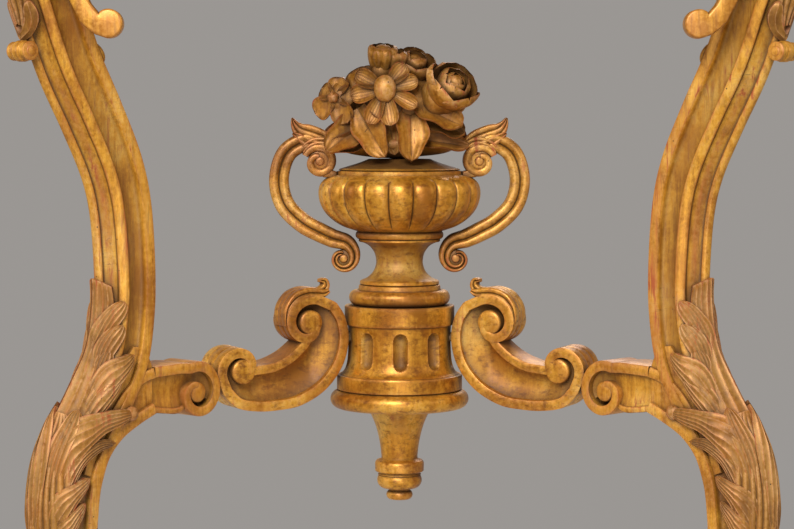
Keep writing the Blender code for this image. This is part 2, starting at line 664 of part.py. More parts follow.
def scroll_tongue(side, scroll):
    """Tongue of the scroll block, hollowed to the round end of the bracket."""
    plane = leg_plane(side)
    half = SCROLL_WIDTH / 2 - RIM_SINK
    low, high = SCROLL_HEIGHT - 4 * MM, SCROLL_HEIGHT + 24 * MM
    reach = SCROLL_REACH + SCROLL_RADIUS + 16 * MM
    outline = [(-SCROLL_REACH, low), (-SCROLL_REACH, high), (-reach, high), (-reach, low)]
    boolean(scroll, plate(scroll.name + "_tongue", outline, plane, -half, half * 0.4, GILT,
                          cutter=True), "UNION")
    scribe = plate(scroll.name + "_scribe", inner_field(bracket_outline(), -GAP), bracket_plane(side),
                   lambda along: bracket_back(along) - GAP, -BRACKET_SETBACK + GAP, GILT, cutter=True)
    boolean(scroll, scribe, "DIFFERENCE")


def drum_outline(grow=0.0):
    """Fluted drum: base band, flare, waist and top band; grown for a scribed cut."""
    base, band = DRUM_BASE_RADIUS + grow, DRUM_BAND_RADIUS + grow
    waist = DRUM_RADIUS + grow
    top = DRUM_TOP - GAP
    outline = [(base - 1 * MM, DRUM_BOTTOM), (base, DRUM_BOTTOM + 2 * MM),
               (base, DRUM_BOTTOM + 14 * MM), (base - 4 * MM, DRUM_BOTTOM + 17 * MM),
               (waist + 4 * MM, DRUM_BOTTOM + 22 * MM), (waist, DRUM_BOTTOM + 30 * MM),
               (waist, top - 25 * MM), (band - 1 * MM, top - 20 * MM), (band, top - 18 * MM),
               (band, top - 2 * MM), (band - 2 * MM, top)]
    return outline


def drum():
    made = turned("stretcher_drum", bored(drum_outline()), GILT)
    middle = (DRUM_BOTTOM + 30 * MM + DRUM_TOP - 25 * MM) / 2
    for k in range(FLUTES):
        angle = 2 * math.pi * k / FLUTES - math.pi / 2
        aim = np.array((math.cos(angle), math.sin(angle), 0.0))
        spot = np.array((0.0, AXIS_Y, middle)) + (DRUM_RADIUS + 1 * MM) * aim
        across = np.array((-aim[1], aim[0], 0.0))
        rings = []
        for depth, share in ((3 * MM, 1.0), (-1 * MM, 1.0), (-FLUTE_DEPTH, 0.55)):
            ring = []
            for a in np.linspace(0, 2 * math.pi, 12, endpoint=False):
                ring.append(spot + depth * aim + share * FLUTE_WIDTH / 2 * math.cos(a) * across
                            + (FLUTE_HEIGHT / 2 - (1 - share) * FLUTE_WIDTH / 2) * math.sin(a) * UP)
            rings.append(ring)
        boolean(made, loft(f"flute_{k}", rings, GILT, True), "DIFFERENCE")
    return made


def turned_stack():
    """Pendant, base ring, urn foot, stem, bowl and cover, all bored for the tie rod."""
    ring_low, ring_high = RING_BOTTOM + GAP, DRUM_BOTTOM - GAP
    bead = (ring_high - ring_low) / 2
    ring_mid = (RING_RADIUS - bead, (ring_low + ring_high) / 2)
    round_edge = [tuple(p) for p in arc(ring_mid, bead, -90, 90, 6)]
    turned("drum_base_ring", bored([(34 * MM, ring_low)] + round_edge), GILT)

    low = PENDANT_BOTTOM
    pendant = [(5 * MM, low), (10 * MM, low + 1 * MM), (14 * MM, low + 5 * MM),
               (13 * MM, low + 11 * MM), (17 * MM, low + 13 * MM), (22 * MM, low + 18 * MM),
               (24 * MM, low + 23 * MM), (23 * MM, low + 28 * MM), (26 * MM, low + 31 * MM),
               (26 * MM, low + 42 * MM), (21 * MM, low + 46 * MM), (19 * MM, low + 51 * MM),
               (22 * MM, low + 68 * MM), (27 * MM, low + 84 * MM), (32 * MM, RING_BOTTOM)]
    finial = turned_solid("pendant_finial", pendant, GILT, 28)
    socket = low + 50 * MM
    drill([finial], (0, AXIS_Y, socket), (0, AXIS_Y, DRUM_TOP), ROD_RADIUS + ROD_FIT)

    turned("urn_foot", bored([
        (FOOT_RADIUS - 5 * MM, DRUM_TOP), (FOOT_RADIUS - 1 * MM, DRUM_TOP + 3 * MM),
        (FOOT_RADIUS, DRUM_TOP + 7 * MM), (FOOT_RADIUS - 2 * MM, DRUM_TOP + 12 * MM),
        (FOOT_RADIUS - 7 * MM, DRUM_TOP + 15 * MM), (FOOT_RADIUS - 11 * MM, DRUM_TOP + 16 * MM),
        (FOOT_RADIUS - 11 * MM, FOOT_TOP)]), GILT)

    waist, low = STEM_WAIST_RADIUS, FOOT_TOP + GAP
    turned("urn_stem", bored([
        (waist + 17.6 * MM, low), (waist + 9 * MM, low + 5 * MM), (waist + 3 * MM, low + 12 * MM),
        (waist, low + 22 * MM), (waist + 1.5 * MM, low + 32 * MM), (waist + 7 * MM, low + 41 * MM),
        (BOWL_LOW_RADIUS - 8 * MM, STEM_TOP - 3 * MM), (BOWL_LOW_RADIUS - 3 * MM, STEM_TOP)]),
        GILT, 32)

    low = STEM_TOP + GAP
    belly = [(BOWL_LOW_RADIUS, low), (BOWL_LOW_RADIUS, low + 8 * MM)]
    belly += [(BOWL_LOW_RADIUS + (BOWL_RADIUS - BOWL_LOW_RADIUS) * math.sin(math.radians(a)),
               low + 8 * MM + 42 * MM * (1 - math.cos(math.radians(a)))) for a in (22, 44, 66, 90)]
    belly += [(BOWL_RADIUS - 4 * MM, low + 58 * MM), (RIM_RADIUS + 7 * MM, low + 65 * MM),
              (RIM_RADIUS, low + 67 * MM), (RIM_RADIUS, BOWL_TOP)]

    def gadroon(radius, height, angle):
        body = (radius - RIM_RADIUS * 0.72) / (BOWL_RADIUS - RIM_RADIUS * 0.72)
        shown = low + 8 * MM < height < low + 66 * MM
        share = abs(math.sin(GADROONS * (angle + math.pi / 2) / 2))
        return -GADROON_DEPTH * share ** 3 * max(body, 0.0) if shown else 0.0

    turned("urn_bowl", bored(belly), GILT, GADROONS * 4, gadroon, 0.0)

    low = BOWL_TOP + GAP
    turned("urn_cover", bored([(RIM_RADIUS - 1 * MM, low), (RIM_RADIUS - 3 * MM, low + 2 * MM),
                               (45 * MM, low + 6 * MM), (32 * MM, COVER_TOP)]), GILT, 32)
    rod("urn_tie_rod", (0, AXIS_Y, socket + GAP), (0, AXIS_Y, BOUQUET_MIDDLE), ROD_RADIUS, BARE_WOOD)


def handle(side):
    """S-scroll handle: a grooved band between two round volutes, and a leaf on top."""
    plane = Plane((0.0, AXIS_Y), side, 0.0)
    name = side_name(side) + "_handle"
    eye, low = HANDLE_TOP_EYE, HANDLE_LOW_EYE
    line = curve_through([
        (eye[0] - 2 * MM, eye[1] + HANDLE_TOP_RADIUS - HANDLE_BAND / 2 + 2 * MM),
        (eye[0] + 16 * MM, eye[1] + 21 * MM), (HANDLE_REACH - 8 * MM, eye[1] + 8 * MM),
        (HANDLE_REACH, eye[1] - 19 * MM), (HANDLE_REACH - 6 * MM, eye[1] - 46 * MM),
        (HANDLE_REACH - 25 * MM, eye[1] - 66 * MM), (low[0] + 20 * MM, low[1] + 25 * MM),
        (low[0] + 1 * MM, low[1] + 6 * MM)], 3)
    rings = []
    for i, spot in enumerate(line):
        before, after = line[max(i - 1, 0)], line[min(i + 1, len(line) - 1)]
        along = (after - before) / np.linalg.norm(after - before)
        across = np.array((-along[1], along[0]))
        share = i / (len(line) - 1)
        band = HANDLE_BAND * (0.62 + 0.38 * math.sin(math.pi * min(share * 1.3, 1.0)))
        half, groove = HANDLE_WIDTH / 2, HANDLE_GROOVE
        half_section = [(-band / 2, half - groove), (-band / 2 + groove, half),
                        (-groove * 0.7, half), (0.0, half - groove), (groove * 0.7, half),
                        (band / 2 - groove, half), (band / 2, half - groove)]
        section = half_section + [(a, -b) for a, b in reversed(half_section)]
        rings.append([plane.at(*(spot + a * across), b) for a, b in section])
    made = loft(name, rings, GILT)
    for spot, radius in ((eye, HANDLE_TOP_RADIUS), (low, HANDLE_LOW_RADIUS)):
        for width, size in ((HANDLE_WIDTH - 2 * MM, radius), (HANDLE_WIDTH + 4 * MM, radius * 0.45)):
            boolean(made, rod(f"{name}_{round(size / MM * 10)}", plane.at(*spot, -width / 2),
                              plane.at(*spot, width / 2), size, GILT, 18, True), "UNION")
    tip = [(eye[0] + 6 * MM, eye[1] + 20 * MM), (eye[0] + 34 * MM, eye[1] + 18 * MM),
           (eye[0] + 32 * MM, eye[1] + 34 * MM), (eye[0] + 30 * MM, eye[1] + 47 * MM),
           (eye[0] + 20 * MM, eye[1] + 36 * MM)]
    half = HANDLE_LEAF / 2
    boolean(made, plate(name + "_leaf", tip, plane, -half, half, GILT, cutter=True), "UNION")
    seat_low, seat_high = BOWL_TOP - HANDLE_SEAT, BOWL_TOP
    seat = [(RIM_RADIUS + GAP, seat_low), (eye[0], seat_low), (eye[0], seat_high + 4 * MM),
            (RIM_RADIUS + GAP, seat_high)]
    boolean(made, plate(name + "_seat", seat, plane, -HANDLE_SEAT, HANDLE_SEAT, GILT, cutter=True),
            "UNION")
    return made


def bouquet():
    """Carved flowers over a skirt of leaves, seated on the cover."""
    middle = np.array((BOUQUET_SHIFT, AXIS_Y, BOUQUET_MIDDLE))
    floor = COVER_TOP + GAP
    made = turned_solid("flower_bouquet", [(26 * MM, floor), (44 * MM, floor + 8 * MM),
                                           (50 * MM, floor + 30 * MM), (30 * MM, floor + 40 * MM)],
                        GILT, 20)
    size = (BOUQUET_HALF_WIDTH, BOUQUET_HALF_DEPTH, BOUQUET_HALF_HEIGHT)
    boolean(made, egg("bouquet_core", middle, size, GILT, 16, 8), "UNION")
    flowers = [("daisy", (-12, -44, 23), (36, 36, 11), (-0.1, -1, 0.25), 8, 0.12),
               ("rose", (58, -26, 21), (26, 26, 22), (0.7, -0.7, 0.5), 5, 0.08),
               ("left_blossom", (-64, -17, 14), (22, 22, 24), (-0.9, -0.5, 0.2), 5, 0.12),
               ("top_bud", (-10, -14, 50), (18, 17, 20), (0, -0.3, 1), 4, 0.10),
               ("back_blossom", (22, 6, 46), (20, 18, 20), (0.4, 0.2, 1), 5, 0.10),
               ("filler", (-38, 4, 38), (18, 18, 18), (-0.6, 0, 0.8), 5, 0.10),
               ("rear_daisy", (8, 42, 22), (32, 32, 11), (0.1, 1, 0.25), 8, 0.12),
               ("rear_blossom", (-46, 26, 12), (20, 20, 14), (-0.7, 0.7, 0.2), 5, 0.12),
               ("left_leaf", (-50, -18, -34), (34, 12, 9), (0.2, -0.4, 1), 0, 0.0),
               ("right_leaf", (54, -16, -30), (34, 13, 9), (-0.2, -0.4, 1), 0, 0.0)]
    for name, place, radii, facing, lobes, swell in flowers:
        spot = middle + np.array(place) * MM
        blob = egg("bouquet_" + name, spot, tuple(r * MM for r in radii), GILT,
                   16 if lobes else 12, 6, lobes, swell, facing)
        boolean(made, blob, "UNION")
    drill([made], (0, AXIS_Y, floor - GAP), (0, AXIS_Y, BOUQUET_MIDDLE + GAP), ROD_RADIUS + ROD_FIT)
    return made


def meet(point, along, other_point, other_along):
    """Crossing of two lines in plan."""
    solved = np.linalg.solve(np.column_stack((along, -np.array(other_along))),
                             np.array(other_point) - np.array(point))
    return np.array(point) + solved[0] * np.array(along)


def frieze_plan(side):
    """Plan corners that the rails, corner block and rear leg of one side share."""
    plane = leg_plane(side)
    half = BLOCK_SIZE / 2
    block_corners = [plane.at(LEG_TOP_REACH + a * half, 0, b * half)[:2]
                     for a, b in ((1, 1), (1, -1), (-1, -1), (-1, 1))]
    post_out = side * (SLAB_BACK_WIDTH / 2 - REAR_LEG_INSET)
    post_in = post_out - side * REAR_LEG_SIZE
    post_front = BACK - REAR_LEG_SIZE
    return plane, block_corners, post_out, post_in, post_front


def rails():
    """Frieze: front, side and back rails, corner blocks, bearer, mouldings, glue blocks."""
    made = {}
    low, high = FRIEZE_BOTTOM, FRIEZE_TOP - GAP
    front, back = RAIL_FACE, RAIL_FACE + RAIL_THICKNESS
    ends = {}
    for side in (-1, 1):
        name = side_name(side)
        plane, corners, post_out, post_in, post_front = frieze_plan(side)
        made[name + "_corner_block"] = block(name + "_corner_block", corners, low, high, GILT)
        inner = corners[0] + GAP * plane.face[:2]
        ends[side] = [meet((0, y), (1, 0), inner, plane.out[:2]) for y in (front, back)]
        start = np.array(corners[1]) + RAIL_THICKNESS * 0.4 * -plane.out[:2]
        run = np.array((post_out, post_front)) - start
        run /= np.linalg.norm(run)
        inward = np.array((-side * run[1], side * run[0]))
        face_line = np.array(corners[1]) - GAP * plane.face[:2]
        quad = []
        for offset, cut in ((0, 0), (0, 1), (RAIL_THICKNESS, 1), (RAIL_THICKNESS, 0)):
            line = start + offset * inward
            if cut == 0:
                quad.append(meet(line, run, face_line, plane.out[:2]))
            else:
                quad.append(meet(line, run, (0, post_front - GAP), (1, 0)))
        made[name + "_side_rail"] = block(name + "_side_rail", quad, low, high, GILT)
        strip = []
        for offset, cut in ((-GAP, 0), (-GAP, 1), (-GAP - MOULDING_DEPTH, 1),
                            (-GAP - MOULDING_DEPTH, 0)):
            line = start + offset * inward
            if cut == 0:
                strip.append(meet(line, run, face_line, plane.out[:2]))
            else:
                strip.append(meet(line, run, (0, post_front - GAP), (1, 0)))
        block(name + "_side_moulding", strip, low, low + MOULDING_HEIGHT, GILT)
        post = [(post_out, BACK), (post_in, BACK), (post_in, post_front), (post_out, post_front)]
        taper = (REAR_LEG_SIZE - REAR_LEG_FOOT) / 2
        foot = [(post_out - side * taper, BACK), (post_in + side * taper, BACK),
                (post_in + side * taper, post_front + 2 * taper),
                (post_out - side * taper, post_front + 2 * taper)]
        rings = [[(x, y, z) for x, y in ring] for ring, z in
                 ((foot, 0.0), (post, FRIEZE_BOTTOM - REAR_LEG_SHOULDER), (post, high))]
        loft(name + "_rear_leg", rings, GILT)
        corner = np.array((post_in - side * GAP, BACK - RAIL_THICKNESS - GAP))
        block(name + "_rear_glue_block", [corner, corner + (-side * GLUE_BLOCK, 0),
                                          corner + (0, -GLUE_BLOCK * 0.6)],
              low + GLUE_BLOCK_SHORT, high - GLUE_BLOCK_SHORT, BARE_WOOD)
        seat = np.array((ends[side][1][0] - side * 2 * GAP, back + GAP))
        toward = -side * GLUE_BLOCK
        rise = plane.out[:2] * -GLUE_BLOCK * 0.8
        block(name + "_front_glue_block", [seat, seat + (toward, 0), seat + rise],
              low + GLUE_BLOCK_SHORT, high - GLUE_BLOCK_SHORT, BARE_WOOD)
    made["front_rail"] = block("front_rail", [ends[-1][0], ends[1][0], ends[1][1], ends[-1][1]],
                               low, high, GILT)
    reach = abs(ends[1][0][0]) - MOULDING_DEPTH - GAP
    seat, edge = front - GAP, front - GAP - MOULDING_DEPTH
    block("front_moulding", [(-reach, edge), (reach, edge), (reach, seat), (-reach, seat)],
          low, low + MOULDING_HEIGHT, GILT)
    inside = frieze_plan(1)[3] - GAP
    rear = BACK - RAIL_THICKNESS
    made["back_rail"] = block("back_rail", [(-inside, rear), (inside, rear), (inside, BACK),
                                            (-inside, BACK)], low, high, BARE_WOOD)
    half = BEARER_WIDTH / 2
    start, end = back + GAP, rear - GAP
    block("center_bearer", [(-half, start), (half, start), (half, end), (-half, end)],
          high - BEARER_HEIGHT, high, BARE_WOOD)
    return made


def slab():
    """Marble slab with rounded edges; flush with the frieze at the back."""
    corners = []
    for side in (-1, 1):
        plane, block_corners, post_out, _, _ = frieze_plan(side)
        tip = [np.array(block_corners[0]), np.array(block_corners[1])]
        push = SLAB_OVERHANG * plane.out[:2]
        front = meet(tip[0] + push, plane.face[:2], (0, FRONT), (1, 0))
        shoulder = tip[1] + push
        corners.append([(side * SLAB_BACK_WIDTH / 2, BACK), shoulder, front])
    ring = corners[0] + corners[1][::-1]
    made = block("marble_top", ring, FRIEZE_TOP, TABLE_HEIGHT, MARBLE)
    shaped = bmesh.new()
    shaped.from_mesh(made.data)
    edges = [e for e in shaped.edges
             if abs(e.verts[0].co.z - e.verts[1].co.z) < GAP
             and min(v.co.y for v in e.verts) < BACK - GAP and e.verts[0].co.z > FRIEZE_TOP + GAP]
    bmesh.ops.bevel(shaped, geom=edges, offset=SLAB_EDGE_ROUND, segments=4, profile=0.6,
                    affect="EDGES")
    shaped.to_mesh(made.data)
    shaped.free()
    return made


def front_ear(side):
    """Apron end that runs down the inner edge of the leg to a small scroll."""
    plane = Plane((0.0, RAIL_FACE + RAIL_THICKNESS), side, 0.0)
    high = FRIEZE_BOTTOM - 2 * GAP
    leg_top = KNEE_SPREAD + LEG_TOP_REACH * math.cos(LEG_ANGLE)
    eye = (leg_top - EAR_EYE_IN, FRIEZE_BOTTOM - EAR_DROP)
    sweep = curve_through([(eye[0] - 4 * MM, eye[1] + 13 * MM), (eye[0] + 6 * MM, eye[1] + 34 * MM),
                           (eye[0] - 8 * MM, eye[1] + 60 * MM), (eye[0] - 50 * MM, high - 18 * MM),
                           (eye[0] - EAR_SPAN + 12 * MM, high - 5 * MM)], 4)
    outline = [(eye[0] + 20 * MM, eye[1] - 2 * MM)] + arc(eye, EAR_SCROLL_RADIUS, -40, -250, 12)
    outline += sweep + [(eye[0] - EAR_SPAN, high), (eye[0] + 75 * MM, high),
                        (eye[0] + 58 * MM, eye[1] + 40 * MM)]
    made = plate(side_name(side) + "_front_ear", outline, plane, EAR_SETBACK,
                 EAR_SETBACK + EAR_THICKNESS, GILT)
    boolean(made, leg_body(made.name + "_scribe", side, GAP, True), "DIFFERENCE")
    boolean(made, leg_leaf_roll(side, GAP), "DIFFERENCE")
    return made


def joints(made):
    """Dowels and pins between the glued pieces."""
    for side in (-1, 1):
        name = side_name(side)
        leg, scroll = made[name + "_front_leg"], made[name + "_leg_scroll"]
        arm, drum_piece = made[name + "_bracket"], made["stretcher_drum"]
        plane, other = leg_plane(side), bracket_plane(side)
        half = DOWEL_LENGTH / 2
        dowel(name + "_leg_dowel", plane.at(LEG_TOP_REACH, FRIEZE_BOTTOM - half),
              plane.at(LEG_TOP_REACH, FRIEZE_BOTTOM + half), [leg, made[name + "_corner_block"]])
        height = SCROLL_HEIGHT + SCROLL_DOWEL_RISE
        dowel(name + "_scroll_dowel", plane.at(-SCROLL_SEAM - half, height),
              plane.at(-SCROLL_SEAM + half, height), [leg, scroll])
        depth = -BRACKET_SETBACK - BRACKET_THIN / 2
        dowel(name + "_drum_dowel", other.at(DRUM_RADIUS - half, BRACKET_JOINT, depth),
              other.at(DRUM_RADIUS + half, BRACKET_JOINT, depth), [arm, drum_piece])
        height = SCROLL_HEIGHT + BRACKET_DOWEL_RISE
        joint, depth = -SCROLL_REACH - SCROLL_RADIUS, -BRACKET_DOWEL_DEPTH
        dowel(name + "_bracket_dowel", plane.at(joint - half, height, depth),
              plane.at(joint + half, height, depth), [arm, scroll])
        grip = Plane((0.0, AXIS_Y), side, 0.0)
        height = BOWL_TOP - HANDLE_SEAT * 0.6
        dowel(name + "_handle_pin", grip.at(RIM_RADIUS - PIN_INSIDE, height),
              grip.at(RIM_RADIUS + PIN_OUTSIDE, height), [made[name + "_handle"], made["urn_bowl"]],
              PIN_RADIUS, IRON)


def build():
    clear_scene()
    made = rails()
    slab()
    made["stretcher_drum"] = drum()
    turned_stack()
    made["urn_bowl"] = bpy.data.objects["urn_bowl"]
    bouquet()
    for side in (-1, 1):
        name = side_name(side)
        made[name + "_front_leg"] = front_leg(side)
        front_foot(side)
        made[name + "_leg_scroll"] = leg_scroll(side)
        scroll_tongue(side, made[name + "_leg_scroll"])
        made[name + "_bracket"] = bracket(side)
        made[name + "_handle"] = handle(side)
        front_ear(side)
    joints(made)


build()
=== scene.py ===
# %% [markdown]
# # A carved and gilded console table
#
# The table stands against a wall. Two S-shaped legs carry the front of the frieze, and a carved
# stretcher joins them: a volute block on each knee, a C-scroll bracket, and a fluted drum in the
# middle with an urn of flowers on it. All but the marble slab is lime wood under chalk, red clay
# and gold.
#
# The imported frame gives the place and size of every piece. This lesson draws the carver's surface
# over it, one piece at a time, in metres.

# %% Load the frame
import math

import bmesh
import bpy
import numpy as np
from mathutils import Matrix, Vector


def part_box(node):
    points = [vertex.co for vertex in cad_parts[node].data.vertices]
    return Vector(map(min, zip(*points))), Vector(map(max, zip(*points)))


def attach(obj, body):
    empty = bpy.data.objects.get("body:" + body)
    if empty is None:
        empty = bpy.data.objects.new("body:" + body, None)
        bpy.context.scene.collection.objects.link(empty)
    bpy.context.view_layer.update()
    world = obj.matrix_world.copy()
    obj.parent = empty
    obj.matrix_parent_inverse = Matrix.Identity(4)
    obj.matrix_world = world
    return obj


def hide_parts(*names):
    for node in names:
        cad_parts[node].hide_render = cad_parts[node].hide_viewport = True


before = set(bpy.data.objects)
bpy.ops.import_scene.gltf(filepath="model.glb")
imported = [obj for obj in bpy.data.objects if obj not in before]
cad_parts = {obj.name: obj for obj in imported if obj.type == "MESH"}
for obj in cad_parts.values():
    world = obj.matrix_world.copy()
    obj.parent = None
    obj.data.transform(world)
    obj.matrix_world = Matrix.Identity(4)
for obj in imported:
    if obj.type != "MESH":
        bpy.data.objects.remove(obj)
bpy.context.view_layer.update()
print("pieces in the frame:", len(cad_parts))

# %% [markdown]
# ## Places taken from the frame
#
# The turned pieces share one upright axis, and each leg stands in its own upright plane at 45 degrees.
# Both could be typed in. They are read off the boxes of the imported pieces, so the surface follows the
# frame.

# %% Places
MM = 0.001
UP = np.array((0.0, 0.0, 1.0))
SIDES = (("left", -1), ("right", 1))
LEG_TOP_REACH = 112 * MM
LEG_ANGLE, BRACKET_ANGLE = math.radians(45), math.radians(25)

drum_low, drum_high = (np.array(corner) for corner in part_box("stretcher_drum"))
AXIS_Y = (drum_low[1] + drum_high[1]) / 2
block_low, block_high = (np.array(corner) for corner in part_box("right_corner_block"))
KNEE = (block_low + block_high)[:2] / 2 - LEG_TOP_REACH * np.array((1, -1)) * math.cos(LEG_ANGLE)
FRIEZE_BOTTOM = block_low[2]
print("axis at y", round(AXIS_Y, 4), "knee at", KNEE.round(4), "frieze from", round(FRIEZE_BOTTOM, 4))

# %% [markdown]
# ## Drawing tools
#
# A carver draws a line, then moves a section along it. Curve objects with a bevel could do that, but
# arrays of points let the section change on the way. The tools are a smooth curve through points, even
# spacing, and an upright plane to draw in.


# %% Drawing tools
def curve(points, steps=8):
    """Smooth open curve through the given points."""
    knots = np.array(points, float)
    knots = np.concatenate([[2 * knots[0] - knots[1]], knots, [2 * knots[-1] - knots[-2]]])
    t = (np.arange(steps) / steps)[:, None]
    line = []
    for before, start, end, after in zip(knots, knots[1:], knots[2:], knots[3:]):
        line.append(0.5 * (2 * start + (end - before) * t
                           + (2 * before - 5 * start + 4 * end - after) * t ** 2
                           + (3 * start - before - 3 * end + after) * t ** 3))
    return np.concatenate(line + [knots[-2:-1]])


def even(line, count):
    """The same line with its points evenly spaced."""
    line = np.asarray(line, float)
    run = np.concatenate([[0], np.cumsum(np.linalg.norm(np.diff(line, axis=0), axis=1))])
    at = np.linspace(0, run[-1], count)
    return np.stack([np.interp(at, run, line[:, k]) for k in range(line.shape[1])], axis=1)


def ruled(one, other, across):
    """Grid of points on straight lines between two lines."""
    return one[:, None, :] + (other - one)[:, None, :] * np.ravel(across)[None, :, None]


def circle(count):
    """Angles of evenly spaced points round a circle."""
    return np.arange(count) / count * 2 * math.pi


def directions(line):
    """Unit vectors along a line and, turned left, across it."""
    along = np.gradient(line, axis=0)
    along /= np.linalg.norm(along, axis=1)[:, None]
    return along, np.stack([-along[:, 1], along[:, 0]], axis=1)


def unit(vector):
    """The same direction with length one."""
    vector = np.array(vector, float)
    return vector / np.linalg.norm(vector)


print("tools: curve, even, ruled, circle, directions, unit")


# %% Upright planes
class Plane:
    """Upright plane: reach runs along it, depth square to it towards the front."""

    def __init__(self, origin, side, angle):
        self.origin = np.array((origin[0], origin[1], 0.0))
        self.out = np.array((side * math.cos(angle), -math.sin(angle), 0.0))
        self.face = np.array((-side * math.sin(angle), -math.cos(angle), 0.0))

    def at(self, reach, height, depth=0.0):
        reach, height, depth = np.broadcast_arrays(reach, height, depth)
        return (self.origin + reach[..., None] * self.out + height[..., None] * UP
                + depth[..., None] * self.face)


def leg_plane(side):
    """Plane of a front leg, on the diagonal."""
    return Plane((side * KNEE[0], KNEE[1]), side, LEG_ANGLE)


print("tools: Plane, leg_plane")

# %% [markdown]
# ## From shells to a piece
#
# A carved piece is gathered from closed shells: tubes with a section that changes along the way, and
# thin patches such as petals. Sculpting could make them too, but code gives the same piece each time.
# When the piece is whole, each point is measured for how hollow or how sharp the surface is there. The
# gilding uses that to darken the hollows with dust and painted shade and to wear the edges.


# %% Shells
def quads(rows, around):
    """Faces between successive closed rings of points."""
    faces = []
    for i in range(rows - 1):
        for j in range(around):
            k = (j + 1) % around
            faces.append((i * around + j, i * around + k, (i + 1) * around + k, (i + 1) * around + j))
    return faces


def tube_faces(count, around):
    """Faces of a tube of rings, with a fan over each end."""
    faces = quads(count, around)
    first, rim = count * around, (count - 1) * around
    for j in range(around):
        k = (j + 1) % around
        faces += [(first, k, j), (first + 1, rim + j, rim + k)]
    return faces


def patch_faces(rows, columns):
    """Faces of a patch with an upper and a lower skin, closed round its edge."""
    low = rows * columns
    faces = []
    for i in range(rows - 1):
        for j in range(columns - 1):
            a, b = i * columns + j, (i + 1) * columns + j
            faces.append((a, b, b + 1, a + 1))
            faces.append((low + a, low + a + 1, low + b + 1, low + b))
    rim = [i * columns for i in range(rows)]
    rim += [(rows - 1) * columns + j for j in range(1, columns)]
    rim += [i * columns + columns - 1 for i in range(rows - 2, -1, -1)]
    rim += list(range(columns - 2, 0, -1))
    return faces + [(a, low + a, low + b, b) for a, b in zip(rim, rim[1:] + rim[:1])]


print("tools: quads, tube_faces, patch_faces")


# %% Gather shells
class Carving:
    """Closed shells of one piece, kept in order until the piece is made; look picks the finish."""

    def __init__(self, name):
        self.name = name
        self.points, self.faces, self.dirt, self.looks = [], [], [], []
        self.count, self.look = 0, 0

    # Each point carries one darkening value: dust and painted shade above zero, wear below zero.
    def add(self, points, faces, dirt=0.0):
        points = np.asarray(points, float).reshape(-1, 3)
        self.faces += [tuple(i + self.count for i in face) for face in faces]
        self.points.append(points)
        self.dirt.append(np.broadcast_to(dirt, len(points)))
        self.looks += [self.look] * len(faces)
        self.count += len(points)

    def tube(self, rings, dirt=0.0):
        rings = np.asarray(rings, float)
        ends = np.stack([rings[0].mean(axis=0), rings[-1].mean(axis=0)])
        self.add(np.concatenate([rings.reshape(-1, 3), ends]), tube_faces(*rings.shape[:2]), dirt)

    # The lower skin takes its own value, painted shade under the patch.
    def patch(self, top, bottom, under_shade, dirt):
        size = top.shape[:2]
        dirt = np.stack([np.broadcast_to(dirt, size), np.full(size, under_shade)]).reshape(-1)
        self.add(np.stack([top, bottom]), patch_faces(*size), dirt)


print("tools: Carving")

# %% Measure the surface
BEND_LENGTH, FINE_MESH = 4 * MM, 12 * MM


def mark_surface(mesh, dirt):
    """Store how hollow and how sharp each point is, plus dust and painted shade; below zero is wear."""
    count = len(mesh.vertices)
    spots, normals = np.empty(count * 3), np.empty(count * 3)
    mesh.vertices.foreach_get("co", spots)
    mesh.vertices.foreach_get("normal", normals)
    spots, normals = spots.reshape(-1, 3), normals.reshape(-1, 3)
    ends = np.empty(len(mesh.edges) * 2, int)
    mesh.edges.foreach_get("vertices", ends)
    a, b = ends.reshape(-1, 2).T

    def gather(from_a, from_b):
        return np.bincount(a, from_a, count) + np.bincount(b, from_b, count)

    step = spots[b] - spots[a]
    square = np.maximum((step ** 2).sum(axis=1), 1e-9)
    degree = np.maximum(gather(None, None), 1)
    bend = gather((step * normals[a]).sum(axis=1) / square, -(step * normals[b]).sum(axis=1) / square)
    reach = gather(np.sqrt(square), np.sqrt(square)) / degree
    bend = np.clip(bend / degree * BEND_LENGTH, -1, 1) * np.minimum(1, (FINE_MESH / reach) ** 2)
    for _ in range(2):
        bend = 0.5 * bend + 0.5 * gather(bend[b], bend[a]) / degree
    for name, values in (("hollow", bend + dirt), ("edge", -bend - dirt)):
        kept = np.clip(values, 0, 1).astype(np.float32)
        mesh.attributes.new(name, "FLOAT", "POINT").data.foreach_set("value", kept)


print("tools: mark_surface")

# %% Make a piece
CREASE = math.radians(38)


def make(carving, finish, node):
    """Turn the gathered shells into one object that stands for its CAD node."""
    mesh = bpy.data.meshes.new(carving.name)
    mesh.from_pydata(np.concatenate(carving.points).tolist(), [], carving.faces)
    shaped = bmesh.new()
    shaped.from_mesh(mesh)
    bmesh.ops.recalc_face_normals(shaped, faces=shaped.faces)
    shaped.to_mesh(mesh)
    shaped.free()
    mesh.shade_smooth()
    mesh.set_sharp_from_angle(angle=CREASE)
    mark_surface(mesh, np.concatenate(carving.dirt))
    for look in finish if isinstance(finish, tuple) else (finish,):
        mesh.materials.append(look)
    mesh.polygons.foreach_set("material_index", carving.looks)
    made = bpy.data.objects.new(carving.name, mesh)
    bpy.context.scene.collection.objects.link(made)
    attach(made, "root")
    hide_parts(node)
    print(carving.name, len(mesh.vertices), "points")


print("tools: make")

# %% [markdown]
# ## Finishes
#
# A finish is a node group of noises that gives a colour, a metal share, a roughness and a height, and
# a material passes them to its shader. Painted pictures could do this as well, but noise fits any
# shape and needs no unwrapping. The small class keeps the node code short.


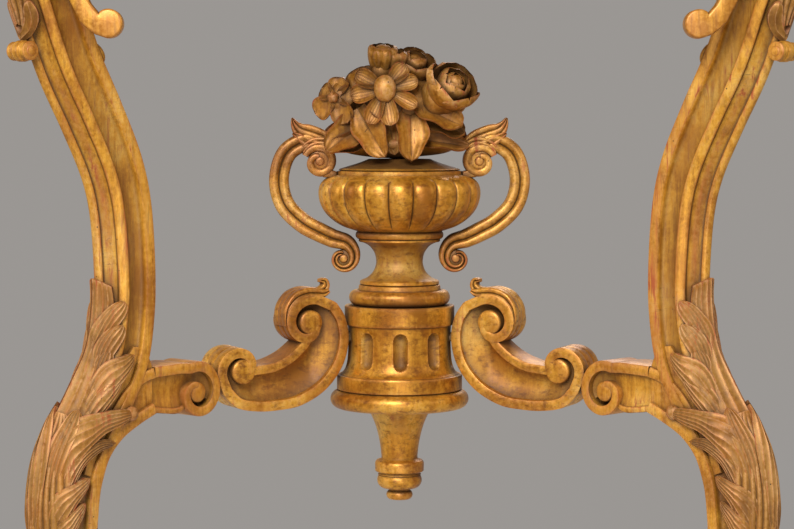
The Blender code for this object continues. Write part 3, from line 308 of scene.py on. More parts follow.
# %% Node helper
class Nodes:
    """Puts shader nodes into one tree and joins them."""

    def __init__(self, tree):
        self.tree = tree

    def plug(self, socket, value):
        """Fill a socket with a value or with another node's output."""
        if isinstance(value, bpy.types.NodeSocket):
            self.tree.links.new(value, socket)
        else:
            socket.default_value = value

    def put(self, kind, inputs=(), **settings):
        node = self.tree.nodes.new("ShaderNode" + kind)
        for key, value in settings.items():
            setattr(node, key, value)
        for key, value in dict(inputs).items():
            self.plug(node.inputs[key], value)
        return node

    def maths(self, operation, first, second=0.0, clamp=False):
        return self.put("Math", {0: first, 1: second}, operation=operation, use_clamp=clamp).outputs[0]

    def add(self, first, second, clamp=False):
        return self.maths("ADD", first, second, clamp)

    def times(self, first, second, clamp=False):
        return self.maths("MULTIPLY", first, second, clamp)

    def most(self, first, second):
        return self.maths("MAXIMUM", first, second)

    def span(self, value, low, high, start=0.0, end=1.0):
        """Map low..high to start..end, held at both ends."""
        return self.put("MapRange", {"Value": value, "From Min": low, "From Max": high,
                                     "To Min": start, "To Max": end}).outputs[0]

    def place(self):
        return self.put("TexCoord").outputs["Object"]

    def noise(self, place, scale, detail=5.0, rough=0.55, stretch=None):
        if stretch:
            place = self.put("Mapping", {"Vector": place, "Scale": stretch}).outputs[0]
        return self.put("TexNoise", {"Vector": place, "Scale": scale, "Detail": detail,
                                     "Roughness": rough}).outputs[0]

    def blend(self, share, first, second):
        return self.put("Mix", {0: share, 6: first, 7: second}, data_type="RGBA").outputs[2]


print("tools: Nodes")

# %% Groups and materials
SURFACE = {"Colour": "NodeSocketColor", "Roughness": "NodeSocketFloat", "Metallic": "NodeSocketFloat",
           "Height": "NodeSocketFloat"}


def new_group(name):
    """Empty node group with the outputs of a surface."""
    group = bpy.data.node_groups.new(name, "ShaderNodeTree")
    for label, kind in SURFACE.items():
        group.interface.new_socket(label, in_out="OUTPUT", socket_type=kind)
    return Nodes(group)


def close_group(n, *values):
    """Send colour, roughness, metal share and height out of the group."""
    out = n.tree.nodes.new("NodeGroupOutput")
    for label, value in zip(SURFACE, values):
        n.plug(out.inputs[label], value)
    return n.tree


def material(name, group, bump=0.3, distance=0.0006, coat=0.0):
    """Principled material fed by one of the groups."""
    made = bpy.data.materials.new(name)
    made.use_nodes = True
    n = Nodes(made.node_tree)
    shader = made.node_tree.nodes["Principled BSDF"]
    source = n.put("Group", node_tree=group).outputs
    relief = n.put("Bump", {"Height": source["Height"], "Strength": bump, "Distance": distance})
    n.plug(shader.inputs["Base Color"], source["Colour"])
    n.plug(shader.inputs["Roughness"], source["Roughness"])
    n.plug(shader.inputs["Metallic"], source["Metallic"])
    n.plug(shader.inputs["Normal"], relief.outputs[0])
    n.plug(shader.inputs["Coat Weight"], coat)
    return made


print("tools: new_group, close_group, material")

# %% [markdown]
# ## Gilding
#
# Water gilding is gold leaf a thousandth of a millimetre thick over red clay over chalk. Hands and
# dusters rub the gold from raised edges so the red shows, dust settles brown in the hollows, and the
# chalk cracks across the grain. The hollows, and places where other parts close in, are also darkened
# as painted shade. One recipe with a few settings makes all five kinds of gold on the table, from the
# burnished urn to the matt flowers.

# %% Gilding
BOLE, CHALK = (0.40, 0.090, 0.020, 1), (0.68, 0.39, 0.19, 1)
AMBER, STAIN = (0.46, 0.155, 0.012, 1), (0.19, 0.058, 0.006, 1)
# DUST_AND_SHADE is the colour of dust and of painted shade in hollows and under parts.
DUST_AND_SHADE, CRACK = (0.080, 0.032, 0.005, 1), (0.03, 0.012, 0.004, 1)


def gilding(name, tones, rub, wear, metal, rough, brush, grime_and_shade, stains, cracks=0.75):
    """Aged gold: brushed leaf, red clay on worn edges, chalky rubbing, dust and painted shade, cracks,
    wormholes.
    """
    n = new_group(name)
    place = n.place()
    hollow = n.put("Attribute", attribute_name="hollow").outputs["Fac"]
    edge = n.put("Attribute", attribute_name="edge").outputs["Fac"]
    # Painted shade: an occlusion node gives darker colour where other surfaces close in.
    occlusion_shade = n.put("AmbientOcclusion", {"Distance": 0.016}, samples=6).outputs["AO"]
    broad = n.noise(place, 14.0)
    mottle = n.noise(place, 230.0, 5.0, 0.65)
    grain = n.noise(place, 620.0, 3.0)
    streak = n.noise(place, 210.0, 5.0, 0.65, (1.0, 1.0, 0.09))
    tone = n.add(n.times(broad, 0.82 - brush), n.times(streak, brush))
    ramp = n.put("ValToRGB", {"Fac": n.add(tone, n.times(mottle, 0.18))})
    stops = ramp.color_ramp.elements
    stops[0].position, stops[0].color = 0.41, tones[0]
    stops[1].position, stops[1].color = 0.60, tones[2]
    stops.new(0.5).color = tones[1]
    warm = n.noise(place, 34.0, 4.0, 0.6, (1.0, 1.0, 0.35))
    colour = n.blend(n.span(warm, 0.48, 0.66, 0, 0.6), ramp.outputs["Color"], AMBER)
    stain = n.noise(place, 170.0, 7.0, 0.72, stains[1])
    colour = n.blend(n.span(stain, 0.51, 0.65, 0, stains[0]), colour, STAIN)

    rubbed = n.add(n.span(broad, 0.52, 0.70), n.times(n.span(edge, 0.03, 0.30), 0.9))
    rubbed = n.times(n.times(rubbed, n.span(mottle, 0.35, 0.6)), rub, True)
    colour = n.blend(rubbed, colour, CHALK)
    worn = n.times(n.span(edge, 0.14, 0.55, 0, 0.7), n.span(streak, 0.38, 0.58))
    worn = n.add(worn, n.times(n.span(streak, 0.52, 0.66), n.span(broad, 0.45, 0.60)))
    worn = n.times(worn, wear, True)
    colour = n.blend(worn, colour, BOLE)
    # Dust and painted shade: hollows from the surface marks, loose dust, and the occlusion shade.
    dust_and_shade = n.add(n.span(hollow, 0.05, 0.90, 0, 1), n.span(mottle, 0.68, 0.86, 0, 0.35))
    dust_and_shade = n.add(dust_and_shade, n.span(occlusion_shade, 0.35, 0.92, 1, 0), True)
    colour = n.blend(n.times(dust_and_shade, grime_and_shade), colour, DUST_AND_SHADE)

    lines = n.noise(place, 24.0, 3.0, 0.4, (1.0, 1.0, 11.0))
    near = n.maths("ABSOLUTE", n.maths("SUBTRACT", lines, 0.5))
    crack = n.times(n.span(near, 0.0, 0.006, 1, 0), n.span(broad, 0.56, 0.62))
    holes = n.put("TexVoronoi", {"Vector": place, "Scale": 85.0, "Randomness": 1.0}).outputs["Distance"]
    worm = n.times(n.span(holes, 0.045, 0.075, 1, 0), n.span(broad, 0.53, 0.55))
    mark = n.most(n.times(crack, cracks), worm)
    colour = n.blend(mark, colour, CRACK)

    gone = n.most(n.most(worn, dust_and_shade), n.most(rubbed, mark))
    shine = n.span(gone, 0.0, 0.9, metal, metal * 0.15)
    dull = n.add(n.span(gone, 0.0, 0.9, rough, rough + 0.26), n.span(mottle, 0.3, 0.7, -0.07, 0.07))
    height = n.add(n.times(mottle, 0.45), n.times(grain, 0.22))
    height = n.add(height, n.times(streak, brush * 1.4))
    height = n.maths("SUBTRACT", height, n.times(mark, 0.9))
    return close_group(n, colour, dull, shine, height)


print("recipe: gilding")

# %% Five kinds of gold
# Each row: group, three tones, rub, wear, metal, rough, brush, grime with painted shade, (stain, its
# stretch), cracks.
ALONG, ROUND = (1.0, 1.0, 0.12), (0.6, 0.6, 1.0)
GOLDS = {
    "gilded wood": ("aged gilding", (
        (0.43, 0.160, 0.009, 1), (0.76, 0.350, 0.029, 1), (0.98, 0.57, 0.098, 1)),
        0.2, 0.9, 0.36, 0.36, 0.29, 0.86, (0.5, ALONG)),
    "burnished gilding": ("burnished gold", (
        (0.36, 0.128, 0.007, 1), (0.71, 0.325, 0.028, 1), (0.97, 0.57, 0.105, 1)),
        0.15, 0.6, 0.50, 0.37, 0.16, 0.90, (0.75, ROUND)),
    "worn gilding": ("worn gold", (
        (0.25, 0.088, 0.006, 1), (0.54, 0.245, 0.024, 1), (0.86, 0.50, 0.100, 1)),
        0.3, 0.9, 0.50, 0.38, 0.18, 0.92, (0.7, ROUND)),
    "rubbed gilding": ("rubbed gold", (
        (0.23, 0.088, 0.008, 1), (0.39, 0.174, 0.023, 1), (0.56, 0.292, 0.068, 1)),
        0.5, 0.9, 0.30, 0.43, 0.30, 0.72, (0.35, ALONG)),
    "matt gilding": ("matt gold", (
        (0.26, 0.092, 0.006, 1), (0.48, 0.205, 0.018, 1), (0.69, 0.350, 0.056, 1)),
        0.45, 0.9, 0.42, 0.42, 0.34, 0.84, (0.5, ROUND), 0.1)}
GILT, BURNISHED, WORN, LEAF, FLOWER = (material(name, gilding(*row)) for name, row in GOLDS.items())
print("finishes:", *GOLDS)

# %% [markdown]
# ## Wood, marble and iron
#
# The hidden parts are bare lime wood and the handle pins are forged iron. The slab is a warm marble
# whose veins run where cells of a bent noise meet, which gives closed nets as in the stone.


# %% Wood, marble and iron
def wood_group():
    """Old limewood: long grain with darker lines and some dust."""
    n = new_group("bare wood")
    place = n.place()
    fine = n.noise(place, 14.0, 4.0, stretch=(2.0, 40.0, 40.0))
    share = n.add(n.times(n.noise(place, 9.0, 6.0, stretch=(1.0, 14.0, 14.0)), 0.6), n.times(fine, 0.4))
    colour = n.blend(n.span(share, 0.36, 0.64), (0.16, 0.085, 0.038, 1), (0.36, 0.22, 0.11, 1))
    return close_group(n, colour, n.span(fine, 0.3, 0.7, 0.62, 0.8), 0.0, share)


def marble_group():
    """Warm veined marble: cloudy ground, broad soft veins and fine dark ones."""
    n = new_group("veined marble")
    place = n.place()
    cloud = n.noise(place, 3.2, 8.0, 0.6)
    drift = n.put("TexNoise", {"Vector": place, "Scale": 4.0, "Detail": 6.0}).outputs["Color"]
    bent = n.put("VectorMath", {0: drift, 1: (0.35, 0.35, 0.35), 2: place}, operation="MULTIPLY_ADD")
    veins = []
    for scale, wide in ((3.1, 0.055), (7.0, 0.028)):
        cells = n.put("TexVoronoi", {"Vector": bent.outputs[0], "Scale": scale}, feature="DISTANCE_TO_EDGE")
        veins.append(n.span(cells.outputs["Distance"], 0.0, wide, 1, 0))
    ground = n.blend(n.span(cloud, 0.35, 0.68), (0.46, 0.30, 0.23, 1), (0.68, 0.55, 0.46, 1))
    colour = n.blend(n.times(veins[0], 0.7), ground, (0.80, 0.74, 0.68, 1))
    colour = n.blend(n.times(veins[1], n.span(cloud, 0.45, 0.6)), colour, (0.17, 0.07, 0.05, 1))
    return close_group(n, colour, n.span(cloud, 0.3, 0.7, 0.28, 0.38), 0.0, veins[1])


def iron_group():
    """Forged iron gone brown."""
    n = new_group("old iron")
    rust = n.noise(n.place(), 260.0, 6.0)
    colour = n.blend(n.span(rust, 0.4, 0.65), (0.05, 0.045, 0.042, 1), (0.17, 0.065, 0.025, 1))
    return close_group(n, colour, n.span(rust, 0.3, 0.7, 0.5, 0.8), n.span(rust, 0.4, 0.65, 0.85, 0.2), rust)


WOOD = material("bare wood", wood_group())
MARBLE = material("veined marble", marble_group(), 0.05, 0.0003, 0.1)
IRON = material("old iron", iron_group())
print("finishes:", WOOD.name, MARBLE.name, IRON.name)

# %% [markdown]
# ## Turned pieces
#
# Ring, drum, pendant, foot, stem, bowl and cover came off a lathe, one profile each. A screw modifier
# could spin them, but the flutes of the drum and the gadroons of the bowl were cut afterwards, so here
# rings of points let the radius change with the angle.

# %% Lathe
# Cut surfaces such as the flutes are darkened by their depth: dust and painted shade in the hollows.
DIRT_AND_SHADE_PER_MM = 0.045


def profile(*runs):
    """Join straight points and arcs (given as arrays) into one profile, in mm."""
    return np.concatenate([np.atleast_2d(np.array(run, float)) for run in runs])


def bead(radius, height, across, tall, start=-90, end=90, steps=12):
    """Rounded moulding: part of an oval round (radius, height)."""
    angle = np.radians(np.linspace(start, end, steps + 1))
    return np.stack([radius + across * np.cos(angle), height + tall * np.sin(angle)], axis=1)


def wall(radius, low, high):
    """Upright run of a profile."""
    return np.stack([np.full(8, radius), np.linspace(low, high, 8)], axis=1)


def turn(name, line, dirt=0.0, sides=160, cut=None):
    """Turn a profile round the axis; cut(angle, radius, height) may change the radius."""
    line = np.asarray(line, float) * MM
    angle = circle(sides)
    radius = np.repeat(line[:, :1], sides, axis=1)
    height = np.repeat(line[:, 1:], sides, axis=1)
    dirt = np.full(radius.shape, dirt)
    if cut:
        whole = radius
        radius = cut(np.broadcast_to(angle, radius.shape), whole, height)
        dirt += DIRT_AND_SHADE_PER_MM * (whole - radius) / MM
    rings = np.stack([radius * np.sin(angle), AXIS_Y - radius * np.cos(angle), height], axis=2)
    carving = Carving(name + "_carved")
    carving.tube(rings, np.append(dirt, (0, 0)))
    make(carving, BURNISHED, name)


print("tools: profile, bead, wall, turn")

# %% Flutes and gadroons
FLUTES, FLUTE_MIDDLE, FLUTE_WIDE, FLUTE_TALL, FLUTE_DEEP = 9, 322 * MM, 7.4 * MM, 19.5 * MM, 6.4 * MM
GADROONS, GADROON_LOW, GADROON_TALL, GADROON_DEEP = 20, 450 * MM, 58 * MM, 5.2 * MM


def flutes(angle, radius, height):
    """Round-ended hollows round the waist of the drum."""
    pitch = 2 * math.pi / FLUTES
    off = ((angle + pitch / 2) % pitch - pitch / 2) * radius
    rise = np.maximum(np.abs(height - FLUTE_MIDDLE) - (FLUTE_TALL - FLUTE_WIDE), 0)
    away = np.clip(1 - (off ** 2 + rise ** 2) / FLUTE_WIDE ** 2, 0, 1)
    return radius - FLUTE_DEEP * np.sqrt(away)


def gadroons(angle, radius, height):
    """Swelling lobes round the bowl, narrow at the foot and round at the shoulder."""
    pitch = 2 * math.pi / GADROONS
    off = np.abs((angle + pitch / 2) % pitch - pitch / 2) / (pitch / 2)
    share = (height - GADROON_LOW) / GADROON_TALL
    body = np.clip(share / 0.16, 0, 1) * np.clip((1.0 - share) / 0.13, 0, 1)
    wide = np.where(share > 0.84, np.sqrt(np.clip(1 - ((share - 0.84) / 0.16) ** 2, 0, 1)), 1.0)
    lobe = np.sqrt(np.clip(1 - (off / np.maximum(wide, 0.05)) ** 2, 0, 1))
    return radius - (1 - lobe) * GADROON_DEEP * np.sqrt(body)


print("flutes", FLUTES, "gadroons", GADROONS)

# %% Turn the stack
# Stem and cover are darkened all over: painted shade together with dust.
STEM_DARKENING, COVER_DARKENING = 0.44, 0.85
turn("drum_base_ring", profile(
    (16, 258), (58, 258), (61, 258.2), bead(64.2, 268, 10.2, 9.8, -80, 88, 20), (60, 277.8), (16, 277.8)))
turn("stretcher_drum", profile(
    (16, 278.3), (66.6, 278.3), (67.4, 279.2), wall(67.4, 280, 293), (66.9, 294), (63.8, 294.6),
    curve([(63.8, 294.8), (60.5, 297.5), (58, 302), (56.2, 309), (55.4, 318), (55, 328), (55, 337),
           (55.2, 343), (55.6, 347.2)], 9),
    (58.2, 348), (58.9, 348.8), wall(59, 350, 367.6), (58.2, 368.6), (16, 368.7)), sides=432, cut=flutes)
turn("pendant_finial", profile(
    (3, 158), (8, 158.5), bead(9, 163.5, 5.2, 5.2, -70, 62), (11.8, 168.8), (12.2, 169.8), (15.5, 170.6),
    bead(15.5, 179.5, 8.6, 9, -88, 40, 14), (23.3, 185.6), (22.4, 187), (22.6, 188.4), (25.2, 188.8),
    (26.2, 189.8), (26.4, 198), (25.6, 200), (24.4, 201.2), (21, 201.8), (19.6, 203),
    curve([(19.4, 205), (20.6, 216), (22.8, 228), (26.2, 240), (30.4, 250), (34.0, 256.6)], 9),
    (34.4, 257.2), (16, 257.2)))
turn("urn_foot", profile(
    (16, 369.3), (47.5, 369.3), bead(47.6, 377.2, 6.6, 7.8, -90, 86, 18), (46.4, 385.1), (44.4, 385.3),
    (44.2, 386.2), (43.6, 390), (42.6, 390.7), (16, 390.7)))
turn("urn_stem", profile(
    (16, 391.3), (42, 391.3), (42.6, 392), (42.4, 394.6),
    curve([(41, 395.6), (34.5, 398.5), (28.4, 404.5), (25.4, 412), (25.2, 418), (27.2, 425.5),
           (32.6, 432.5), (39.4, 436.2)], 9),
    (42.8, 436.8), (43.8, 437.6), (43.6, 439.7), (16, 439.7)), STEM_DARKENING)
turn("urn_bowl", profile(
    (16, 440.3), (45.4, 440.3), bead(44.6, 444.2, 2.6, 3.8, -80, 80, 8), (46, 448.4),
    curve([(50, 449.6), (60.5, 453.2), (71, 459.6), (79.6, 468), (84.8, 477.5), (86.9, 488), (85.6, 497),
           (81.6, 502.6), (75.6, 506.4), (68.4, 508.2)]),
    (66.6, 508.6), (66.4, 512), (65.6, 512.7), (16, 512.7)), sides=480, cut=gadroons)
turn("urn_cover", profile(
    (16, 513.3), (64.4, 513.3), (65, 514.2), curve([(63.4, 515.2), (54, 518), (43, 521.4), (33, 525.4)], 6),
    (16, 525.7)), COVER_DARKENING)

# %% [markdown]
# ## Bands, buttons and plates
#
# Most of the stretcher is band work: a flat or reeded band follows a line and rolls up into a volute
# with a round button in its eye. A bevelled curve keeps one section all the way, so the bands are swept
# here instead, and a path is a list of places with the band's width at each.


# %% Lines for bands
def roll(center, knots):
    """Volute round a centre in mm; knots are (angle, radius, width) from outside in."""
    angle, radius, width = curve(knots, 10).T
    angle = np.radians(angle)
    reach, height = center[0] + radius * np.cos(angle), center[1] + radius * np.sin(angle)
    return np.stack([reach, height, width], axis=1) * MM


def path(points=(), end=None, start=None):
    """Line of (reach, height, width) in metres through points in mm; end and start are volutes."""
    runs = [curve(points, 10) * MM] if len(points) else []
    if end:
        runs.append(roll(*end))
    if start:
        runs.insert(0, roll(*start)[::-1])
    line = np.concatenate(runs)
    return even(line, max(int(len(line) * 0.9), 24))


def paced(line, count, at, run, fine):
    """Points of a line at a changing pace: at share `at` of the count, share `run` of the line."""
    share = np.interp(np.linspace(0, 1, count), at, run)
    return even(line, fine)[(share * (fine - 1)).astype(int)]


print("tools: roll, path, paced")

# %% Sections of bands
BAND_SOFT, BAND_SWELL, REED_RISE = 1.1 * MM, 0.4 * MM, 1.3 * MM


def sweep(carving, plane, line, section):
    """Move a section along a path; section(reach, width) gives (across, depth) points."""
    _, across = directions(line[:, :2])
    rings = []
    for (reach, height, width), side in zip(line, across):
        shape = section(reach, width)
        rings.append(plane.at(reach + shape[:, 0] * side[0], height + shape[:, 0] * side[1], shape[:, 1]))
    carving.tube(rings)


def reeded(deep, number, low=0.62, flat_back=None):
    """Section with rounded reeds on its face, and on its back unless that is flat; in mm."""
    share = np.linspace(0, 1, 8 * number + 1)
    front = deep * MM * (low + (1 - low) * np.sqrt(np.abs(np.sin(math.pi * number * share))))
    back = -front if flat_back is None else np.full(len(share), flat_back * MM)

    def section(_, width):
        across = (share - 0.5) * width
        return np.concatenate([np.stack([across, front], axis=1), np.stack([across, back], axis=1)[::-1]])
    return section


def flat_band(front, back, reeds=3):
    """Flat-faced band, its outer side reeded; front in mm, back(reach) in metres."""
    turnings = np.linspace(0, 1, 8 * reeds + 1)
    bulge = np.sqrt(np.abs(np.sin(math.pi * reeds * turnings)))
    front, soft = front * MM, BAND_SOFT

    def section(reach, width):
        half, rear = width / 2, back(reach)
        face = [(-half, front - soft), (-half + soft * 0.3, front - soft * 0.3), (-half + soft, front),
                (0.0, front + BAND_SWELL), (half - soft, front), (half - soft * 0.3, front - soft * 0.3)]
        depth = front - soft + (rear - front + soft) * turnings
        outer = np.stack([half - REED_RISE + REED_RISE * bulge, depth], axis=1)
        return np.concatenate([face, outer, [(-half, rear)]])
    return section


def both_faces(carving, plane, line, front, reeds, back=0.0, turned=1):
    """The same band on both faces of a plank; turned -1 puts its reeds on the right of the path."""
    section = flat_band(front, lambda reach: back * MM, reeds)
    for mirror in (1, -1):
        sweep(carving, plane, line, lambda reach, width, way=(turned, mirror): section(reach, width) * way)


print("tools: sweep, reeded, flat_band, both_faces")


# %% Buttons and plates
def button(carving, plane, center, radius, low, high, flat=0.55):
    """Round button with a softly domed face; all sizes in mm."""
    shape = [(1.0, low), (1.0, high - 2.2), (0.97, high - 1.2), (0.9, high - 0.4), (0.8, high),
             (flat, high + 0.3), (0.25, high + 0.5)]
    angle = circle(48)
    carving.tube([plane.at((center[0] + radius * share * np.cos(angle)) * MM,
                           (center[1] + radius * share * np.sin(angle)) * MM, depth * MM)
                  for share, depth in shape])


def inset(outline, distance):
    """The outline moved inwards, corner by corner; it runs anticlockwise."""
    outline = np.asarray(outline, float)
    one, two = outline - np.roll(outline, 1, axis=0), np.roll(outline, -1, axis=0) - outline
    sides = []
    for edge in (one, two):
        edge = edge / np.linalg.norm(edge, axis=1)[:, None]
        sides.append(np.stack([-edge[:, 1], edge[:, 0]], axis=1))
    middle = sides[0] + sides[1]
    return outline + distance * middle / np.maximum((middle * sides[0]).sum(axis=1), 0.35)[:, None]


def stack(carving, outline, levels, place):
    """Closed solid from one outline: levels are (inset, depth), place puts a point in space."""
    rings = [place(inset(outline, shrink), depth) for shrink, depth in levels]
    count, top = len(outline), (len(rings) - 1) * len(outline)
    caps = [tuple(range(count))[::-1], tuple(range(top, top + count))]
    carving.add(np.concatenate(rings), caps + quads(len(rings), count))


def plate(carving, plane, outline, back, front, soft=2.0):
    """Board in a plane with rounded edges; sizes in mm, outline anticlockwise."""
    turned = [(soft * (1 - math.cos(a)), soft * (1 - math.sin(a))) for a in np.radians((0, 30, 60, 90))]
    levels = [(shrink, back + drop) for shrink, drop in reversed(turned)]
    levels += [(shrink, front - drop) for shrink, drop in turned]
    stack(carving, outline, levels, lambda ring, depth: plane.at(*ring.T * MM, depth * MM))


print("tools: button, inset, stack, plate")

# %% [markdown]
# ## Handles
#
# Each handle is one reeded band with a groove down its middle. It rolls up in a volute at both ends,
# and a small leaf lies over the upper roll with its tip standing free. Carvers cut such a handle from
# one board, so every line here lies in one plane and only the depth of the section differs.

# %% Handle lines
LOW_ROLL, TOP_ROLL = (60, 419), (85, 523)
ARM = path([(90, 541, 17), (102, 543.5, 20), (121, 531, 21), (129, 504, 21), (123, 477, 21),
            (104.5, 457.5, 21), (85, 446.5, 20.5), (71, 440, 19.5)],
           (LOW_ROLL, [(92, 18.2, 17.5), (128, 14.4, 14.5), (165, 12.2, 12.5), (205, 11.3, 10.4),
                       (250, 10.9, 8.8), (300, 10.4, 7.8), (350, 9.6, 7.4), (395, 7.8, 6.6),
                       (440, 5.2, 5.6)]))
SPIRAL = path(end=(TOP_ROLL, [(20, 17.0, 7), (60, 15.6, 8), (110, 14.2, 8.6), (160, 13.2, 8.6),
                              (210, 12.6, 8.6), (270, 12.2, 8.6), (330, 11, 8.2), (385, 8.4, 7.2),
                              (435, 5.4, 6)]))
TIP = path([(72, 541, 13), (82, 547, 18), (95, 551.5, 20), (105.5, 555.5, 17), (111.5, 562, 10),
            (114.6, 569.2, 2)])
FRILL = path([(76, 536, 9), (88, 539.5, 13), (99, 544, 13), (108, 549.5, 9), (114, 553, 3)])


def arc(radius, start, end):
    """Narrow reed over the upper roll, thinner at its ends."""
    return path(end=(TOP_ROLL, [(start, radius, 3), (start + 20, radius, 4.6), ((start + end) / 2, radius, 5),
                                (end - 20, radius, 4.6), (end, radius, 3)]))


print("handle arm:", len(ARM), "stations")

# %% Handles
for name, side in SIDES:
    plane = Plane((0.0, AXIS_Y), side, 0.0)
    carving = Carving(name + "_handle_carved")
    for line, section in ((ARM, reeded(10, 2)), (SPIRAL, reeded(10.2, 1, 0.82)),
                          (arc(19.6, 28, 138), reeded(10.4, 1, 0.8)),
                          (arc(24.0, 40, 128), reeded(10.4, 1, 0.8)),
                          (TIP, reeded(9, 3, 0.82)), (FRILL, reeded(10, 2, 0.7))):
        sweep(carving, plane, line, section)
    for eye, radius, low, high in ((LOW_ROLL, 9.5, -6.0, 6.0), (TOP_ROLL, 13.0, -7.6, 7.6),
                                   (LOW_ROLL, 4.6, -9, 9), (TOP_ROLL, 5.0, -9, 9.2)):
        button(carving, plane, eye, radius, low, high)
    plate(carving, plane, [(66.9, 503.5), (82, 506), (84, 516), (66.9, 512.2)], -9, 9)
    make(carving, WORN, name + "_handle")

# %% [markdown]
# ## Brackets
#
# The bracket is a C-scroll cut from one plank. A flat outer band runs round the belly and rolls into an
# eye at each end, a narrower band follows the hollow, and a deep cove lies between them. The plank is
# thicker at the leg than at the drum, and the outer side of the band is reeded. A patch between the two
# bands makes the cove, because its depth can then be drawn point by point.

# %% Bracket lines
LOW_EYE, TOP_EYE = (179.5, 304.5), (102.5, 353)
BELLY = path([(197.5, 284, 11), (184, 271.5, 11), (163, 267.2, 11), (140, 267.4, 11), (116, 271, 11),
              (90, 285, 11), (71.5, 307.5, 11), (64.6, 333, 11), (68, 355, 11), (77, 369.5, 11)],
             (TOP_EYE, [(112, 25.4, 11), (80, 24.4, 11), (40, 23.8, 11), (0, 23, 11), (-40, 20.4, 10.6),
                        (-80, 16.4, 10), (-120, 11, 8.6), (-160, 7, 6)]),
             (LOW_EYE, [(-20, 24.6, 11), (20, 23.8, 11), (55, 22, 11), (90, 19, 10.6), (125, 14.6, 9.6),
                        (165, 9.4, 8), (200, 6, 6)]))
HOLLOW = path([(172, 304.5, 9.5), (164.5, 305, 9.5), (145, 307.5, 9.5), (128.5, 314.5, 9.5),
               (117.5, 322.5, 9.2), (108.5, 331.5, 9), (103.5, 341, 8)])
OVER_THE_EYE = [(130.5, 350, 2), (130.5, 361, 5), (127, 371, 8), (118, 380, 11), (106, 384, 12),
                (95.5, 384, 11)]
LEAF_CURLS = ((-8, [(87, 383.5, 8.5), (81, 386, 4)]),
              (-17.5, [(86, 385, 10), (80.5, 390, 9), (81.5, 395.5, 7.5), (86.5, 396.5, 3.5)]),
              (-27, [(87, 384, 8.5), (81, 387.5, 4)]))
print("bracket bands:", len(BELLY), "and", len(HOLLOW), "stations")

# %% Brackets
WEB_ROWS, WEB_FACE = 90, -4.6 * MM


def bracket_back(reach):
    """The plank thickens from the drum to the leg."""
    return -29 * MM - 26 * MM * np.clip((reach - 59 * MM) / (148 * MM), 0, 1)


rim_line = even(BELLY[int(len(BELLY) * 0.10):int(len(BELLY) * 0.92), :2], WEB_ROWS)
spine = np.concatenate([[np.array(LOW_EYE) * MM], HOLLOW[:, :2], [np.array(TOP_EYE) * MM]])
spine = paced(spine, WEB_ROWS, (0, 0.27, 0.62, 1), (0, 0.02, 0.98, 1), 200)
across = np.linspace(0, 1, 15)
web = ruled(rim_line, spine, across)
cove = np.interp(web[..., 0] / MM, (68, 84, 98, 165, 182), (0.0, 6.0, 12.0, 12.0, 6.0)) * MM
cove = WEB_FACE - cove * np.sin(math.pi * across ** 1.25) ** 0.6
# The web is darkened near the outer band and towards both eyes: painted shade with dust.
web_dirt = 0.12 + 0.5 * (1 - across) ** 2 + 0.3 * np.linspace(-1, 1, WEB_ROWS)[:, None] ** 4

for name, side in SIDES:
    plane = Plane((0.0, AXIS_Y), side, BRACKET_ANGLE)
    carving = Carving(name + "_bracket_carved")
    reach, height = web[..., 0], web[..., 1]
    carving.patch(plane.at(reach, height, cove), plane.at(reach, height, bracket_back(reach) + 0.6 * MM),
                  0.6, web_dirt)
    sweep(carving, plane, BELLY, flat_band(-1.2, bracket_back))
    sweep(carving, plane, HOLLOW, flat_band(-2.0, bracket_back, 1))
    for eye in (LOW_EYE, TOP_EYE):
        button(carving, plane, eye, 13.2, bracket_back(eye[0] * MM) / MM + 1, -1.4, 0.75)
    for depth, curl in LEAF_CURLS:
        shifted = Plane(plane.origin + depth * MM * plane.face, side, BRACKET_ANGLE)
        sweep(carving, shifted, path(OVER_THE_EYE + curl), reeded(5.6, 2))
    make(carving, BURNISHED, name + "_bracket")

# %% [markdown]
# ## Volute blocks
#
# A block glued to the inner side of each knee carries the bracket. Its band starts at the glue seam,
# runs over the top, down and round, and ends in the eye after more than a full turn. Both faces show,
# so band and button are made for each.

# %% Volute blocks
SCROLL_EYE = (-81, 287)
BLOCK_BAND = path([(-22.6, 312.2, 11), (-40, 313, 11), (-58, 313.6, 11)],
                  (SCROLL_EYE, [(70, 27.2, 11), (105, 26.6, 11), (145, 25.2, 10.6), (185, 23.8, 10.2),
                                (230, 21.6, 10.2), (270, 19.6, 10.2), (315, 17.6, 9.8), (360, 15.2, 8.8),
                                (400, 11.6, 7.4), (440, 8, 6)]))
BLOCK_FLOOR = path([(-22.6, 274.5, 6), (-42, 271.2, 6), (-58, 271, 6), (-68, 276, 4)])
outer_edge = even(BLOCK_BAND[:int(len(BLOCK_BAND) * 0.62), :2], 70)
inner_edge = curve([(-22.6, 271), (-40, 268.5), (-58, 267.5), (-72, 277), SCROLL_EYE]) * MM
inner_edge = paced(inner_edge, 70, (0, 0.5, 1), (0, 1, 1), 120)
across = np.linspace(0, 1, 11)
block_web = ruled(outer_edge, inner_edge, across)
block_face = 15.5 * MM + 1.5 * MM * np.cos(math.pi * 2 * across)

for name, side in SIDES:
    plane = leg_plane(side)
    carving = Carving(name + "_leg_scroll_carved")
    reach, height = block_web[..., 0], block_web[..., 1]
    carving.patch(plane.at(reach, height, block_face), plane.at(reach, height, -block_face), 0.15, 0.15)
    both_faces(carving, plane, BLOCK_BAND, 22.8, 2)
    both_faces(carving, plane, BLOCK_FLOOR, 19, 1)
    for mirror in (1, -1):
        button(carving, plane, SCROLL_EYE, 10.6, 0.0, mirror * 21.8, 0.75)
    make(carving, GILT, name + "_leg_scroll")

# %% [markdown]
# ## Legs
#
# A leg was sawn to an S from a thick plank set on the diagonal. Its section is a shield: a round bead
# down the front, two hollow flanks, a rib at each corner, coved sides and flat bands along the back.
# The section swells and thins on the way down, so a half section is drawn once, mirrored, and set at
# every station of the S.

